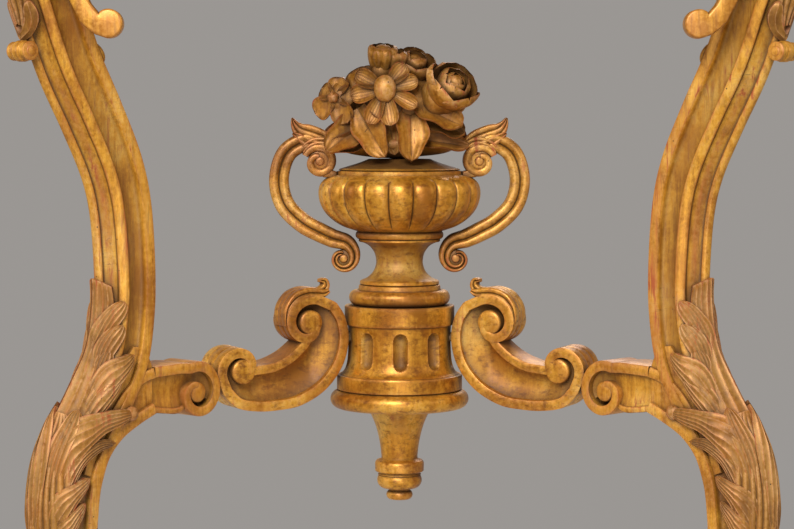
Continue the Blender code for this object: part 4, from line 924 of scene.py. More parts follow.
# %% Leg stations
LEG_KNOTS = [(112, 754.7), (106, 722), (91, 683), (68, 625), (40, 573), (16, 524), (4, 480), (-1, 420),
             (0, 375), (10, 325), (36, 278.9), (58, 244), (71, 212.1), (77, 168), (73, 128), (64, 85)]
LEG_FLANK = [(0, 0), (0.2, 1.5), (0.7, 2.8), (2.3, 4.7), (4.2, 5.5), (5.7, 5.2), (6.7, 3.6), (7.6, 2.4),
             (9.0, 2.8), (10.8, 4.7), (12.8, 7.2), (15.0, 10.0), (16.6, 12.3), (17.2, 13.6), (16.9, 15.0),
             (16.1, 16.6), (15.9, 18.0), (17.2, 19.6), (20.2, 22.2), (22.6, 23.5), (24.2, 23.4),
             (25.4, 22.2), (25.9, 20.0), (27.0, 17.0), (32.0, 15.4)]
LEG_REAR = [(20.4, 15.0), (16.4, 15.8), (13.6, 17.2), (12.5, 19.2), (12.1, 21.2), (11.3, 22.8),
            (9.8, 23.5), (1.0, 23.5), (0, 22.6)]

leg_spots = curve(LEG_KNOTS, 10) * MM
leg_down, _ = directions(leg_spots)
leg_down[0] = leg_down[-1] = (0, -1)
leg_out = np.stack([-leg_down[:, 1], leg_down[:, 0]], axis=1)
share = np.linspace(0, 1, len(leg_spots))
leg_nose = np.interp(share, (0, 0.1, 0.5, 0.85, 1), (31, 39, 36, 39, 27)) * MM
leg_back = np.interp(share, (0, 0.1, 0.5, 0.85, 1), (25, 25, 22, 25, 21)) * MM
leg_front = leg_spots + leg_nose[:, None] * leg_out
flank, rear = curve(LEG_FLANK, 2) * MM, curve(LEG_REAR, 2) * MM


def leg_rings(plane):
    """Sections of the leg from top to ankle."""
    rings = []
    for spot, out, front, behind in zip(leg_spots, leg_out, leg_nose, leg_back):
        half = np.concatenate([np.stack([front - flank[:, 0], flank[:, 1]], axis=1),
                               np.stack([rear[:, 0] - behind, rear[:, 1]], axis=1)])
        shape = np.concatenate([half, (half * (1, -1))[:0:-1]])
        place = spot + shape[:, :1] * out
        rings.append(plane.at(place[:, 0], place[:, 1], shape[:, 1]))
    return rings


print("leg stations:", len(leg_spots))

# %% Dirt, wear and painted shade along the legs
FULL_RUB, OUTER_RUB, INNER_RUB = -0.8, (20, 2.6), (62, 2.4)
height = leg_spots[:, 1:] / MM
number = np.arange(len(flank) + len(rear))
# Grooves and coves are darker: dust and painted shade.
groove_dust_and_shade = np.interp(number, (12, 14, 16, 20, 25, 27, 29, 31, 41, 44, 49, 54, 57, 59),
                   (0, 0.4, 0.16, 0, 0, 0.4, 0.3, 0, 0, 0.5, 0.34, 0.2, 0.1, 0))
outer_length = np.interp(height, (330, 420, 520, 600, 650), (0.1, 0.7, 0.75, 0.5, 0.0))
inner_length = np.interp(height, (290, 345, 470, 540), (0, 1, 1, 0))


def rub(middle, wide):
    """Wear along one line of the section."""
    return FULL_RUB * np.exp(-((number - middle) / wide) ** 2)


def leg_dirt(side):
    """Painted shade and dust in the grooves, red streaks of wear; the right leg is also rubbed on its inner
    edge.
    """
    marks = groove_dust_and_shade + outer_length * rub(*OUTER_RUB)
    if side > 0:
        marks = marks + inner_length * rub(*INNER_RUB)
    return np.append(np.concatenate([marks, marks[:, :0:-1]], axis=1), (0, 0))


print("marks round half a leg:", len(number))

# %% [markdown]
# ## Carved leaves on the legs
#
# The acanthus leaves are not stuck on: the carver leaves wood standing and cuts lobes into it. Each
# lobe here is a patch laid on the leg's surface along a line from its root to its tip. It is ridged
# like a reeded fan, sinks into the leg at the root and lifts off at the tip. Cutting the leg itself
# would need a far finer mesh everywhere.

# %% Laying points on a leg
LEG_HALF, CORNER, FAR = 22.5 * MM, 5 * MM, 0.085


def on_leg(plane, place, lift, mirror):
    """Points on the leg's surface at (reach, height), lifted off it; mirror picks the side."""
    flat = place.reshape(-1, 2)
    offset = flat[:, None, :] - leg_spots[None]
    along = np.abs((offset * leg_down).sum(axis=2)) + 9 * (np.linalg.norm(offset, axis=2) > FAR)
    nearest = along.argmin(axis=1)
    out = leg_out[nearest]
    fall = leg_nose[nearest] - ((flat - leg_spots[nearest]) * out).sum(axis=1)
    across = np.minimum(fall, LEG_HALF) - 1.2 * MM * np.exp(-((fall - LEG_HALF) / CORNER) ** 2)
    tilt = np.radians(np.interp(fall / MM, (-2, 5, 15, 25), (0, 45, 45, 90)))
    lift = np.broadcast_to(lift, place.shape[:2]).reshape(-1)
    forward = out[:, :1] * plane.out + out[:, 1:] * UP
    normal = np.cos(tilt)[:, None] * forward + (np.sin(tilt) * mirror)[:, None] * plane.face
    surface = plane.at(flat[:, 0], flat[:, 1], np.clip(across, 0, None) * mirror)
    past = np.clip(-fall, 0, None)[:, None] * forward
    return (surface - past + lift[:, None] * normal).reshape(*place.shape[:2], 3)


def lay_on_leg(carving, plane, mirror, place, height, thick, under_shade, dirt):
    """Patch on the leg; height and thickness in mm."""
    carving.patch(on_leg(plane, place, height * MM, mirror),
                  on_leg(plane, place, (height - thick) * MM, mirror), under_shade, dirt)


print("tools: on_leg, lay_on_leg")


# %% Lobes and blades
def lobe(carving, plane, mirror, line, width, lift, ridges=5, rows=28, columns=31):
    """One lobe of a leaf: line from root to tip in mm, half width, lift at root and tip."""
    middle = even(curve(line) * MM, rows)
    _, left = directions(middle)
    x, y = np.linspace(0, 1, rows)[:, None], np.linspace(-1, 1, columns)[None, :]
    half = width * MM * (0.5 + 0.5 * np.sin(math.pi * (0.66 * x))) * np.sqrt(np.clip(1 - x ** 4.2, 0.003, 1))
    place = middle[:, None, :] + (half * y)[..., None] * left[:, None, :]
    ridge = 1 - np.abs(np.sin(math.pi * ridges * (y + 1) / 2)) ** 0.8
    rise = np.sin(math.pi / 2 * np.minimum(x / 0.82, 1)) - 0.35 * (np.clip(x - 0.84, 0, 1) / 0.16) ** 2
    height = lift[0] + (lift[1] - lift[0]) * rise + 0.9 * ridge * (1 - 0.6 * x ** 3) + 2.0 * (1 - y ** 2)
    rim = np.clip((np.maximum(np.abs(y), x ** 3) - 0.80) / 0.20, 0, 1)
    # Valleys and the root are darker, dust and painted shade; ridges and rim are worn.
    dirt = 0.20 * (1 - ridge) + 0.12 * (1 - x) ** 2 - 0.12 * ridge - 0.55 * rim * np.minimum(2 * x, 1)
    lay_on_leg(carving, plane, mirror, place, height, 4.4 + 7.0 * (1 - x), 0.3, dirt)


def blade(carving, plane, mirror, low, high, edge, lift, veins, reeds=False, rows=50, columns=37):
    """Body of a leaf between the front bead, from height low to high, and an edge line in mm."""
    front = leg_front[(leg_front[:, 1] > low * MM) & (leg_front[:, 1] < high * MM)][::-1]
    x, y = np.linspace(0, 1, rows)[:, None], np.linspace(0, 1, columns)[None, :]
    place = ruled(even(front, rows), even(curve(edge) * MM, rows), y)
    rim = np.clip((np.maximum(y * (x > 0.5), x ** 4) - 0.84) / 0.16, 0, 1)
    wave = np.abs(np.sin(math.pi * veins * (y ** 0.85)))
    # Between the veins the colour is darker, dust and painted shade; the rim is worn.
    if reeds:
        relief = 2.0 * wave ** 0.6 * (1 - x ** 8)
        dirt = 0.45 * (1 - wave ** 0.6) + 0.08 - 0.15 * rim
    else:
        relief = 1.1 - 1.1 * wave ** 0.8
        dirt = 0.36 * wave ** 0.8 - 0.12 - 0.45 * rim
    height = lift + relief + 1.4 * np.sin(math.pi * y) + 1.2 * x ** 6
    lay_on_leg(carving, plane, mirror, place, height, 9, 0.15, dirt)


print("tools: lobe, blade")


# %% Layout of the leaves
def knob(carving, plane, place, depth, size):
    """Small rounded end on a curled tip."""
    around = circle(20)[:, None]
    center = plane.at(place[0] * MM, place[1] * MM, depth * MM)
    carving.tube([center + size * MM * (math.cos(rise) * (np.cos(around) * plane.out + np.sin(around) * UP)
                                        + 0.8 * math.sin(rise) * plane.face)
                  for rise in np.radians(np.linspace(-80, 80, 11))])


BLADES = (
    (258, 413, [(58, 258), (46, 284), (33, 311), (28, 336), (24, 360), (22, 384), (23, 401)], 3.2, 4),
    (92, 281, [(74, 92), (82, 130), (86, 170), (87, 205), (82, 240), (75, 262), (74, 274)], 4.4, 6, True),
    (656, 735, [(116, 656), (117, 668), (121, 684), (127, 708), (131, 734)], 2.6, 3, True))
LOBES = (
    ([(66, 266), (44, 293), (25, 311)], 9.5, (1, 6)),
    ([(58, 282), (35, 311), (10, 333)], 10.5, (1, 8)),
    ([(46, 303), (38, 321), (29, 338)], 6.5, (1.5, 5.5)),
    ([(43, 314), (31, 341), (18.5, 363)], 8.0, (1, 6.5)),
    ([(40, 338), (28, 364), (15.5, 386)], 8.0, (1, 6.5)),
    ([(90, 88), (83, 112), (70, 132)], 8.0, (1, 6)),
    ([(98, 108), (88, 140), (73, 162)], 8.5, (1, 6)),
    ([(103, 132), (90, 170), (72, 191)], 8.5, (1, 7)),
    ([(106, 152), (92, 194), (66, 215)], 10.0, (1, 7)),
    ([(98, 186), (80, 228), (57, 245), (33, 247)], 7.5, (1, 6)),
    ([(101, 188), (87, 238), (58, 265), (30, 272), (10, 274)], 12.0, (1, 9)),
    ([(104, 190), (92, 234), (66, 280)], 9.0, (2, 8)),
    ([(114, 160), (112, 200), (102, 244), (81, 289)], 7.0, (3.5, 8)),
    ([(118.5, 644), (115.5, 654), (116.0, 666), (121.5, 681)], 5.4, (3, 7), 2))
print("lobes on each side of a leg:", len(LOBES))

# %% Collar, barrel and swelling
COLLAR = ((85.4, 6), (85.8, 2.6), (87.2, 0.8), (89.4, 0), (91.8, 0.6), (93.6, 2.2), (94.2, 5))
BARREL = (121, 632)


def leg_rounds(carving, plane):
    """Collar at the ankle, rolled barrel of the husk, and the small swelling behind the leg's top."""
    angle = circle(96)
    across, deep = (np.sign(wave) * np.abs(wave) ** 0.7 for wave in (np.cos(angle), np.sin(angle)))
    carving.tube([plane.at((67 + (36 - cut) * across) * MM, height * MM, (30.5 - cut) * deep * MM)
                  for height, cut in COLLAR])
    across = np.linspace(-14, 14, 29)
    off = np.abs(across)
    waist = 10.4 - 1.5 * np.exp(-((off - 6) / 1.3) ** 2) - 1.2 * (off > 7) - 1.4 * (off > 13.5)
    angle = circle(40)
    carving.tube([plane.at((BARREL[0] + radius * np.cos(angle)) * MM,
                           (BARREL[1] + radius * np.sin(angle)) * MM, depth * MM)
                  for depth, radius in zip(across, waist)])
    for high in (-14.6, 14.6):
        button(carving, plane, BARREL, 5.6, 0.0, high)
    rings = []
    for share in np.linspace(-1, 1, 15):
        wide = math.sqrt(1.02 - share * share)
        rings.append(plane.at((41.5 - 5 * share + 10 * wide * np.cos(angle)) * MM,
                              (632 - 14 * share + 3 * wide * np.cos(angle)) * MM,
                              22.5 * wide * np.sin(angle) * MM))
    # The swelling is darkened all over: painted shade behind the leg's top, with dust.
    carving.tube(rings, 0.5)


print("collar levels:", len(COLLAR))

# %% Carve the legs
SPUR = np.concatenate([[(-21.8, 318), (-21.8, 270.2)], curve([(0, 261), (20, 249), (36, 232), (46, 210)], 5),
                       [(66, 218), (34, 300), (2, 340), (-14, 338)]])
SPUR_RIM = path([(-21.8, 276, 11.5), (0, 266.8, 11.5), (23, 254, 11.5), (41, 235, 11.5), (51, 211, 11.5),
                 (56, 190, 11)])
SPUR_RIB = path([(-21.8, 311.6, 11), (-10, 308.5, 10.5), (6, 299.5, 9), (22, 285, 8), (36, 266, 6)])
for name, side in SIDES:
    plane = leg_plane(side)
    carving = Carving(name + "_front_leg_carved")
    carving.tube(leg_rings(plane), leg_dirt(side))
    plate(carving, plane, SPUR, -19.5, 19.5, 1.2)
    both_faces(carving, plane, SPUR_RIM, 23.4, 1, turned=-1)
    both_faces(carving, plane, SPUR_RIB, 22.6, 1, turned=-1)
    leg_rounds(carving, plane)
    carving.look = 1
    for mirror in (1, -1):
        for shape in BLADES:
            blade(carving, plane, mirror, *shape)
        for shape in LOBES:
            lobe(carving, plane, mirror, *shape)
        knob(carving, plane, (12, 274), mirror * 27, 7.5)
    make(carving, (GILT, LEAF), name + "_front_leg")

# %% [markdown]
# ## The bouquet
#
# Flowers were carved in the round and left rubbed and matt. A petal is a small spoon: it starts narrow,
# widens to a round tip, bends and cups, and carries a few ribs. The same spoon, longer and pointed,
# makes a leaf. One formula for all of them is quicker than modelling each, and no two look alike.


# %% Petals
def petal(carving, base, along, facing, length, width, bend=0.0, cup=0.0, ribs=6, point=6.0, thick=3.2,
          fold=0.0, rim=1.3, rows=20, columns=23):
    """Spoon-shaped shell in mm: bend lifts the tip, cup the sides, rim the edge; fold is a valley."""
    along, facing = unit(along), unit(facing)
    facing = unit(facing - along * (facing @ along))
    across = np.cross(facing, along)
    x, y = np.linspace(0, 1, rows)[:, None], np.linspace(-1, 1, columns)[None, :]
    half = width * (0.34 + 0.66 * np.sin(math.pi * (0.04 + 0.52 * x)))
    half = half * np.sqrt(np.clip(1 - x ** point, 0.002, 1))
    lip = np.clip((np.maximum(np.abs(y), x ** 2) - 0.70) / 0.30, 0, 1) ** 2
    hump = np.sin(math.pi * (0.1 + 0.8 * x))
    if fold:
        half = half * (1 + 0.11 * np.sin(11 * x + 2 * y))
    height = bend * x ** 2 + rim * lip + 0.22 * np.cos(math.pi * ribs * y) * (0.3 + 0.7 * x)
    height = height + hump * (cup * (y ** 2 - 0.3) + fold * (np.abs(y) ** 0.8 + 0.3 * y * np.sin(9 * x)))

    def lay(level):
        reach = length * x * np.ones_like(y)
        offset = reach[..., None] * along + (half * y)[..., None] * across + level[..., None] * facing
        return base + MM * offset

    # Darker towards the root, dust and painted shade where petals meet; the lip is worn.
    dirt = 0.16 * (1 - x) ** 2 - 0.40 * lip
    carving.patch(lay(height), lay(height - thick * (1.15 - 0.6 * y ** 2)), 0.08, dirt)


print("tools: petal")


# %% Knobs, lumps and flowers
def ball(carving, center, size, axis, ridges=0):
    """Rounded knob about an axis, with shallow lobes; size is (radius, half length) in mm."""
    axis = unit(axis)
    first = unit(np.cross(axis, (0.3, 0.2, 0.9)))
    second = np.cross(axis, first)
    angle = circle(40)[:, None]
    swell = 1 + 0.06 * np.cos(ridges * angle) * (ridges > 0)
    way = swell * (np.cos(angle) * first + np.sin(angle) * second)
    carving.tube([center + MM * (size[0] * math.cos(rise) * way + size[1] * math.sin(rise) * axis)
                  for rise in np.linspace(-math.pi / 2 + 0.1, math.pi / 2 - 0.1, 17)])


def lump(carving, center, sizes, bumps=0.05):
    """Uneven rounded mass; sizes are half lengths in mm."""
    around, rise = circle(60), np.linspace(-1.5, 1.5, 27)[:, None]
    swell = 1 + bumps * (np.sin(5 * around + 2 * rise) * np.cos(4 * rise) + np.sin(3 * around - 3 * rise))
    way = np.stack([np.cos(around) * np.cos(rise), np.sin(around) * np.cos(rise),
                    np.sin(rise) + 0 * around], axis=2)
    carving.tube(center + MM * swell[..., None] * way * np.array(sizes))


def flower(carving, center, facing, angles, start, length, width, open_up=0.15, bend=-4.0, cup=2.0, ribs=4):
    """Ring of petals round a centre; open_up tips them towards the viewer of the flower."""
    facing = unit(facing)
    right = unit(np.cross(facing, UP if abs(facing @ UP) < 0.95 else (0, 1, 0)))
    upward = np.cross(right, facing)
    for angle in np.radians(angles):
        way = math.cos(angle) * -right + math.sin(angle) * upward
        petal(carving, center + start * MM * way, way + open_up * facing, facing - open_up * way, length,
              width, bend, cup, ribs)


print("tools: ball, lump, flower")

# %% Lay out the bouquet
# A flower has a place, a facing, petals (step out, angles, start, length, width, opening, bend, cup, ribs)
# and balls (step out, radius, half length, lobes). A lump has a place, half lengths and bumps, and a leaf a
# place, two directions, length, width, bend and cup. Places are in mm from the middle: right, back, up.
ROSE_WAY, BUD_WAY, BACK_WAY = (0.40, -0.72, 0.56), (0.05, -0.30, 1), (0.25, -0.55, 0.85)
FLOWERS = [
    ((-11, -49, 22), (-0.08, -1, 0.16),
     [(0, (angle,), 7, length, width, 0.10, -2, 4.5, 7) for angle, length, width in (
         (153, 28, 11), (192, 30, 11.5), (15, 29, 10), (-114, 34, 10.5), (50, 27, 10.5), (-80, 33, 11),
         (-29, 32, 9.5))], []),
    ((49, -34, 11), ROSE_WAY,
     [(0, (205, 285), 4, 41, 26, 0.95, 10, 10, 3), (0, (15, 105), 4, 39, 24, 1.05, 10, 10, 3),
      (2, (160,), 4, 46, 17, 1.1, 4, 9, 3), (7, (60, 150, 240, 330), 4, 31, 18, 1.5, 8, 8, 3),
      (11, (20, 140, 260), 3, 26, 13, 2.4, 5, 7, 3)], [(30, 9, 10, 3)]),
    ((-63, -32, 13), (-0.40, -0.9, 0.10),
     [(0, (angle,), 3, length, width, 0.22, -7, 4, 2) for angle, length, width in (
         (75, 19, 13), (10, 17, 12), (218, 25, 14), (300, 27, 14), (150, 17, 11))], [(6, 6, 5.5, 5)]),
    ((-14, -26, 42), BUD_WAY,
     [(0, (200, 290, 20, 110), 6, 27, 11, 2.4, 4, 6, 3), (5, (245, 335, 65, 155), 7, 22, 10, 2.2, 3, 5, 3)],
     [(19, 11, 9, 5)]),
    ((0, -26, 42), BUD_WAY, [(0, (250, 330, 60), 3, 22, 10, 2.0, 3, 5, 3)], []),
    ((16, -14, 36), BACK_WAY,
     [(0, (0, 72, 144, 216, 288), 4, 29, 15, 0.9, 4, 7, 2), (6, (36, 156, 276), 2, 22, 12, 1.6, 4, 6, 2)],
     [(17, 12, 9, 4)]),
    ((-33, -30, 24), (-0.40, -0.80, 0.50),
     [(0, (75, 125, 175), 1, 25, 13, 0.25, -6, 3, 8), (5, (100, 150), 1, 19, 10, 0.5, -4, 3, 8)], [])]
SMALL_PETALS = [(0, np.arange(5) * 72, 4, 22, 12, 0.15, -5, 4)]
FLOWERS += [((x, 28, 12), (x / 60, 0.7, 0.2), SMALL_PETALS, [(4, 6, 5, 5)]) for x in (-48, 48)]
LUMPS = [((2, 0, 4), (60, 44, 42), 0.05), ((-2, -4, -36), (68, 36, 14), 0.03),
         ((4, 0, -38), (34, 36, 13.5), 0.0),
         (np.array((-11, -49, 22)) + 2 * unit((-0.08, -1, 0.16)), (12, 9, 14.5), 0.01),
         (np.array((49, -34, 11)) + 6 * unit(ROSE_WAY), (25, 21, 22), 0.03),
         ((-58, -22, 11), (17, 14, 22), 0.03),
         ((-14, -26, 42), (13, 13, 15), 0.03), ((16, -14, 36), (18, 16, 16), 0.03),
         ((-35, -24, 26), (18, 16, 17), 0.04)]
LEAVES = [((-40, -39, 2), (0.55, -0.34, -1), (-0.10, -1, -0.15), 60, 21, -6, 6),
          ((16, -38, 4), (0.02, -0.40, -1), (0.10, -1, -0.2), 60, 22, -6, 6),
          ((18, -38, 12), (1.0, -0.26, -0.62), (0.15, -1, 0.35), 62, 22, 8, 9),
          ((30, -34, -6), (1.0, -0.20, -0.50), (0.2, -1, 0.3), 48, 18, 5, 7),
          ((-28, -30, -8), (-1, -0.32, -0.75), (-0.2, -1, 0.3), 58, 22, -6, 8),
          ((-16, -28, -26), (-1, -0.18, -0.28), (0, -1, 0.3), 60, 14, -4, 5),
          ((20, -32, -30), (1, -0.12, -0.12), (0.1, -1, 0.4), 58, 14, -4, 5),
          ((-7, -33, -8), (0.16, -0.2, -1), (0, -1, 0), 40, 15, -3, 4),
          ((-48, 10, -16), (-0.8, 0.3, -0.6), (-0.3, 0.5, 0.8), 36, 16, -4, 4),
          ((48, 10, -14), (0.8, 0.3, -0.6), (0.3, 0.5, 0.8), 36, 16, -4, 4),
          ((-24, 40, -4), (-0.2, 0.3, -1), (0, 1, 0.1), 46, 17, -3, 4),
          ((22, 40, -4), (0.2, 0.3, -1), (0, 1, 0.1), 46, 17, -3, 4)]
print("flowers", len(FLOWERS), "lumps", len(LUMPS), "leaves", len(LEAVES))

# %% Carve the bouquet
BOUQUET = np.array((-5 * MM, AXIS_Y, 577 * MM))
REAR_WAY = (0.1, 1, 0.2)
carving = Carving("flower_bouquet_carved")
for place, sizes, bumps in LUMPS:
    lump(carving, BOUQUET + MM * np.array(place), sizes, bumps)
for place, way, rings, balls in FLOWERS:
    center, way = BOUQUET + MM * np.array(place), unit(way)
    for step, *petals in rings:
        flower(carving, center + step * MM * way, way, *petals)
    for step, radius, half, lobes in balls:
        ball(carving, center + step * MM * way, (radius, half), way, lobes)
rear_daisy = BOUQUET + MM * np.array((8, 46, 22))
flower(carving, rear_daisy, REAR_WAY, np.arange(8) * 45, 7, 29, 11.5, 0.10, -5, 3)
ball(carving, rear_daisy + np.array((0, 3, 0)) * MM, (12, 8), REAR_WAY)
for place, way, facing, length, width, bend, cup in LEAVES:
    petal(carving, BOUQUET + MM * np.array(place), way, facing, length, width, bend, cup * 0.4, 4, 2.2, 5.0,
          6.0, 2.4, 26, 27)
make(carving, FLOWER, "flower_bouquet")

# %% [markdown]
# ## Apron ends and feet
#
# Beside each leg a scrolled end of the apron runs down from the frieze. Under the ankle a small scrolled
# foot stands on a square plinth. The feet are outside the photo and follow the usual pattern. Both are
# sawn boards, so a plate with rounded edges carries the bands.

# %% Apron ends
EAR_EYE = np.array((283.0, 658.0))


def ring(center, radius, start, end, count):
    """Points of an arc round a centre; angles in degrees."""
    angle = np.radians(np.linspace(start, end, count))
    return np.array(center) + radius * np.stack([np.cos(angle), np.sin(angle)], axis=1)


EAR_EDGE = curve([EAR_EYE + (9, 9.5), EAR_EYE + (19, 25), EAR_EYE + (14, 48), (EAR_EYE[0] - 50, 736.4),
                  (EAR_EYE[0] - 138, 749.4)])
EAR = np.concatenate([[EAR_EYE + (27, 2), EAR_EYE + (20, -5), EAR_EYE + (12.5, -10.5)],
                      ring(EAR_EYE, 14, -70, -305, 29), EAR_EDGE,
                      [(EAR_EYE[0] - 150, 754.4), (EAR_EYE[0] + 62, 754.4), EAR_EYE + (46, 40)]])
EAR_RIM = np.insert(EAR_EDGE[14:], 2, 6.0, axis=1) + (2.5, 3, 0)
for name, side in SIDES:
    plane = Plane((0.0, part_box("front_rail")[1][1]), side, 0.0)
    carving = Carving(name + "_front_ear_carved")
    plate(carving, plane, EAR[::-1], 1.2, 20.5, 2.4)
    sweep(carving, plane, even(EAR_RIM * MM, 60), reeded(21, 1, 0.9, 12))
    make(carving, GILT, name + "_front_ear")

# %% Feet
for name, side in SIDES:
    plane = leg_plane(side)
    carving = Carving(name + "_front_foot_carved")
    sole, top = (corner[2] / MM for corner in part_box(name + "_front_foot"))
    toe = (96.0, sole + 17)
    outline = np.concatenate([curve([(43.4, top), (48, top - 18), (47, sole + 14), (39, sole + 0.6)], 6),
                              ring(toe, 16.4, -90, 100, 25),
                              curve([(92, sole + 37), (88.5, sole + 44), (90.6, top)], 6)])
    plate(carving, plane, outline, -19, 19)
    toe_roll = path([(87.6, top - 0.5, 4.6), (87.4, sole + 52, 5.4), (88.6, sole + 43, 6),
                     (92, sole + 35.5, 6.6)],
                    (toe, [(85, 13.6, 6.5), (40, 13, 6.5), (0, 12.6, 6.5), (-60, 11.6, 6.2), (-120, 10.4, 6),
                           (-180, 8.8, 5.6), (-250, 6.4, 5), (-320, 3.8, 4.4)]))
    both_faces(carving, plane, toe_roll, 21.6, 1, 10, -1)
    for mirror in (1, -1):
        button(carving, plane, toe, 3.8, 0.0, mirror * 21.8)
    make(carving, GILT, name + "_front_foot")

# %% [markdown]
# ## Joiner's work: frieze and plinths
#
# These are straight pieces. A box with a bevel would do for most, but mouldings have a drawn profile.
# So the plan comes from the frame, corner by corner, and a list of how far in the edge lies at each
# height gives each piece its edges.


# %% Straight pieces
def plan(node, level="low"):
    """Corners of a straight piece seen from above, anticlockwise."""
    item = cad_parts[node]
    points = np.array([item.matrix_world @ vertex.co for vertex in item.data.vertices])
    edge = points[:, 2].min() if level == "low" else points[:, 2].max()
    corners = np.unique(points[np.abs(points[:, 2] - edge) < 1e-4][:, :2].round(5), axis=0)
    center = corners.mean(axis=0)
    return corners[np.argsort(np.arctan2(corners[:, 1] - center[1], corners[:, 0] - center[0]))]


def joinery(node, levels, finish=GILT, carving=None):
    """Straight piece with moulded edges; levels are (inset, height) in mm from its floor."""
    carving = carving or Carving(node + "_worked")
    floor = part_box(node)[0][2]
    stack(carving, plan(node), [(shrink * MM, floor + rise * MM) for shrink, rise in levels],
          lambda outline, z: np.insert(outline, 2, z, axis=1))
    make(carving, finish, node)


def eased(height, soft=0.8):
    """Straight sides with small rounded edges."""
    near = soft * 0.3
    return [(soft, 0), (near, near), (0, soft), (0, height - soft), (near, height - near), (soft, height)]


print("tools: plan, joinery, eased")


# %% Panels
def panel(carving, start, end, low=26, high=86, width=7.0, stand=1.9):
    """Raised bead round a panel on an upright face between two plan points; sizes in mm."""
    start, end = np.append(start, 0.0), np.append(end, 0.0)
    length, run = np.linalg.norm(end - start), unit(end - start)
    face = np.array((run[1], -run[0], 0.0))
    low, high = FRIEZE_BOTTOM + low * MM, FRIEZE_BOTTOM + high * MM
    corners = np.array([(0, low), (length, low), (length, high), (0, high)])
    shape = [(width * (0.5 - 0.5 * math.cos(a)), stand * math.sin(a) - 0.4)
             for a in np.radians(np.linspace(0, 180, 9))]
    shape += [(width, -1.2), (0, -1.2)]
    points = []
    for shrink, depth in shape:
        outline = inset(corners, shrink * MM)
        points.append(start + outline[:, :1] * run + outline[:, 1:] * UP + depth * MM * face)
    count = 4 * len(shape)
    faces = [tuple(i % count for i in quad) for quad in quads(len(shape) + 1, 4)]
    carving.add(np.concatenate(points), faces)


print("tools: panel")

# %% Frieze
RAIL = eased((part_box("front_rail")[1][2] - FRIEZE_BOTTOM) / MM)
OGEE = [(8, 0), (2.5, 0), (0.6, 1.2), (0, 3), (0.4, 5), (2, 6.4), (4, 7.4), (5.4, 9), (6, 11),
        (7.6, 12.6), (8, 14)]
PLINTH = [(1, 0), (0, 1), (0, 12), (0.6, 13.4), (2.4, 14.4), (3.2, 16), (3.4, 18.6), (4.4, 19.6)]


def moulding(node):
    """Ogee moulding, half as deep as drawn and as tall as the frame's piece."""
    size = (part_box(node)[1][2] - FRIEZE_BOTTOM) / MM
    joinery(node, [(shrink * 0.5, rise * size / OGEE[-1][1]) for shrink, rise in OGEE])


front_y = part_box("front_rail")[0][1]
panel_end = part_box("front_moulding")[1][0] - 12 * MM
carving = Carving("front_rail_worked")
panel(carving, (-panel_end, front_y), (panel_end, front_y))
joinery("front_rail", RAIL, carving=carving)
moulding("front_moulding")
for name, side in SIDES:
    moulding(name + "_side_moulding")
    joinery(name + "_front_plinth", PLINTH)
    carving = Carving(name + "_side_rail_worked")
    corners = plan(name + "_side_rail")
    first, last = corners[corners[:, 1].argmin()], corners[(side * corners[:, 0]).argmax()]
    margin = 14 * MM * unit(last - first)
    panel(carving, *[first + margin, last - margin][::side])
    joinery(name + "_side_rail", RAIL, carving=carving)

# %% [markdown]
# ## Corner blocks
#
# Over each leg the rails meet in a corner block. A rosette of two rings of petals is carved on its outer
# face. The petals of the bouquet serve again, flatter and smaller, so the rosette costs no new tool.

# %% Corner blocks
for name, side in SIDES:
    carving = Carving(name + "_corner_block_worked")
    plane = leg_plane(side)
    low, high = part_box(name + "_corner_block")
    outer_face = LEG_TOP_REACH + (high[0] - low[0]) / 2 / math.sqrt(2)
    center = plane.at(outer_face - 1 * MM, FRIEZE_BOTTOM + 48 * MM)
    for turned, length, wide, lift in ((0, 21, 7.5, 0.12), (22.5, 13, 5.5, 0.5)):
        flower(carving, center, plane.out, np.arange(8) * 45 + turned, 3, length, wide, lift, -2, 2, 3)
    ball(carving, center + 2 * MM * plane.out, (5, 4), plane.out)
    joinery(name + "_corner_block", RAIL, carving=carving)

# %% [markdown]
# ## Slab and rear legs
#
# The slab's edge has two rounds with a narrow groove between them, ground into the marble. The rear legs
# stand in the shadow against the wall, so they are plain: square, tapered, with a cut ring near each end.
# Eight points to a ring leave the corners slightly broken, as a plane would.

# %% Slab and rear legs
SLAB_EDGE = [(2.2, 0), (0.6, 0.6), (0, 2), (0, 6), (0.6, 7.4), (2.0, 8.2), (3.4, 8.6), (3.9, 9.6),
             (2.6, 11.4), (1.0, 14), (0.2, 17), (0, 20), (0.5, 23), (1.8, 26), (4.0, 28.4),
             (7.0, 29.7), (9.0, 30)]
REAR_LEG = [(0, 1.2), (1.2, 0), (36, 0), (38, 1.2), (41, 2.0), (44, 1.2), (46, 0), (300, 0), (700, 0),
            (708, 0), (711, 1.6), (714, 2.2), (717, 1.6), (720, 0), (725, 0), (754, 0),
            (755, 1), (756, 0), (848, 0)]
TAPER_TOP, CHAMFER = 725, 1.5 * MM
joinery("marble_top", SLAB_EDGE, MARBLE, Carving("marble_top_polished"))
for name, side in SIDES:
    node = name + "_rear_leg"
    top, foot = plan(node, "high"), plan(node)
    carving = Carving(node + "_worked")
    rings = []
    for rise, shrink in REAR_LEG + [(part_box(node)[1][2] / MM, 0.8)]:
        shape = inset(foot + (top - foot) * min(rise / TAPER_TOP, 1.0), shrink * MM)
        corners = []
        for corner, before, after in zip(shape, np.roll(shape, 1, axis=0), np.roll(shape, -1, axis=0)):
            corners += [corner + unit(other - corner) * CHAMFER for other in (before, after)]
        rings.append(np.insert(corners, 2, rise * MM, axis=1))
    carving.tube(rings)
    make(carving, GILT, node)

# %% [markdown]
# ## Pieces carried over from the frame
#
# Dowels, pins, the tie rod, the bearer and the back of the frame are plain and mostly hidden. They keep
# the frame's own shape and only get a finish, because finer copies would not be seen.

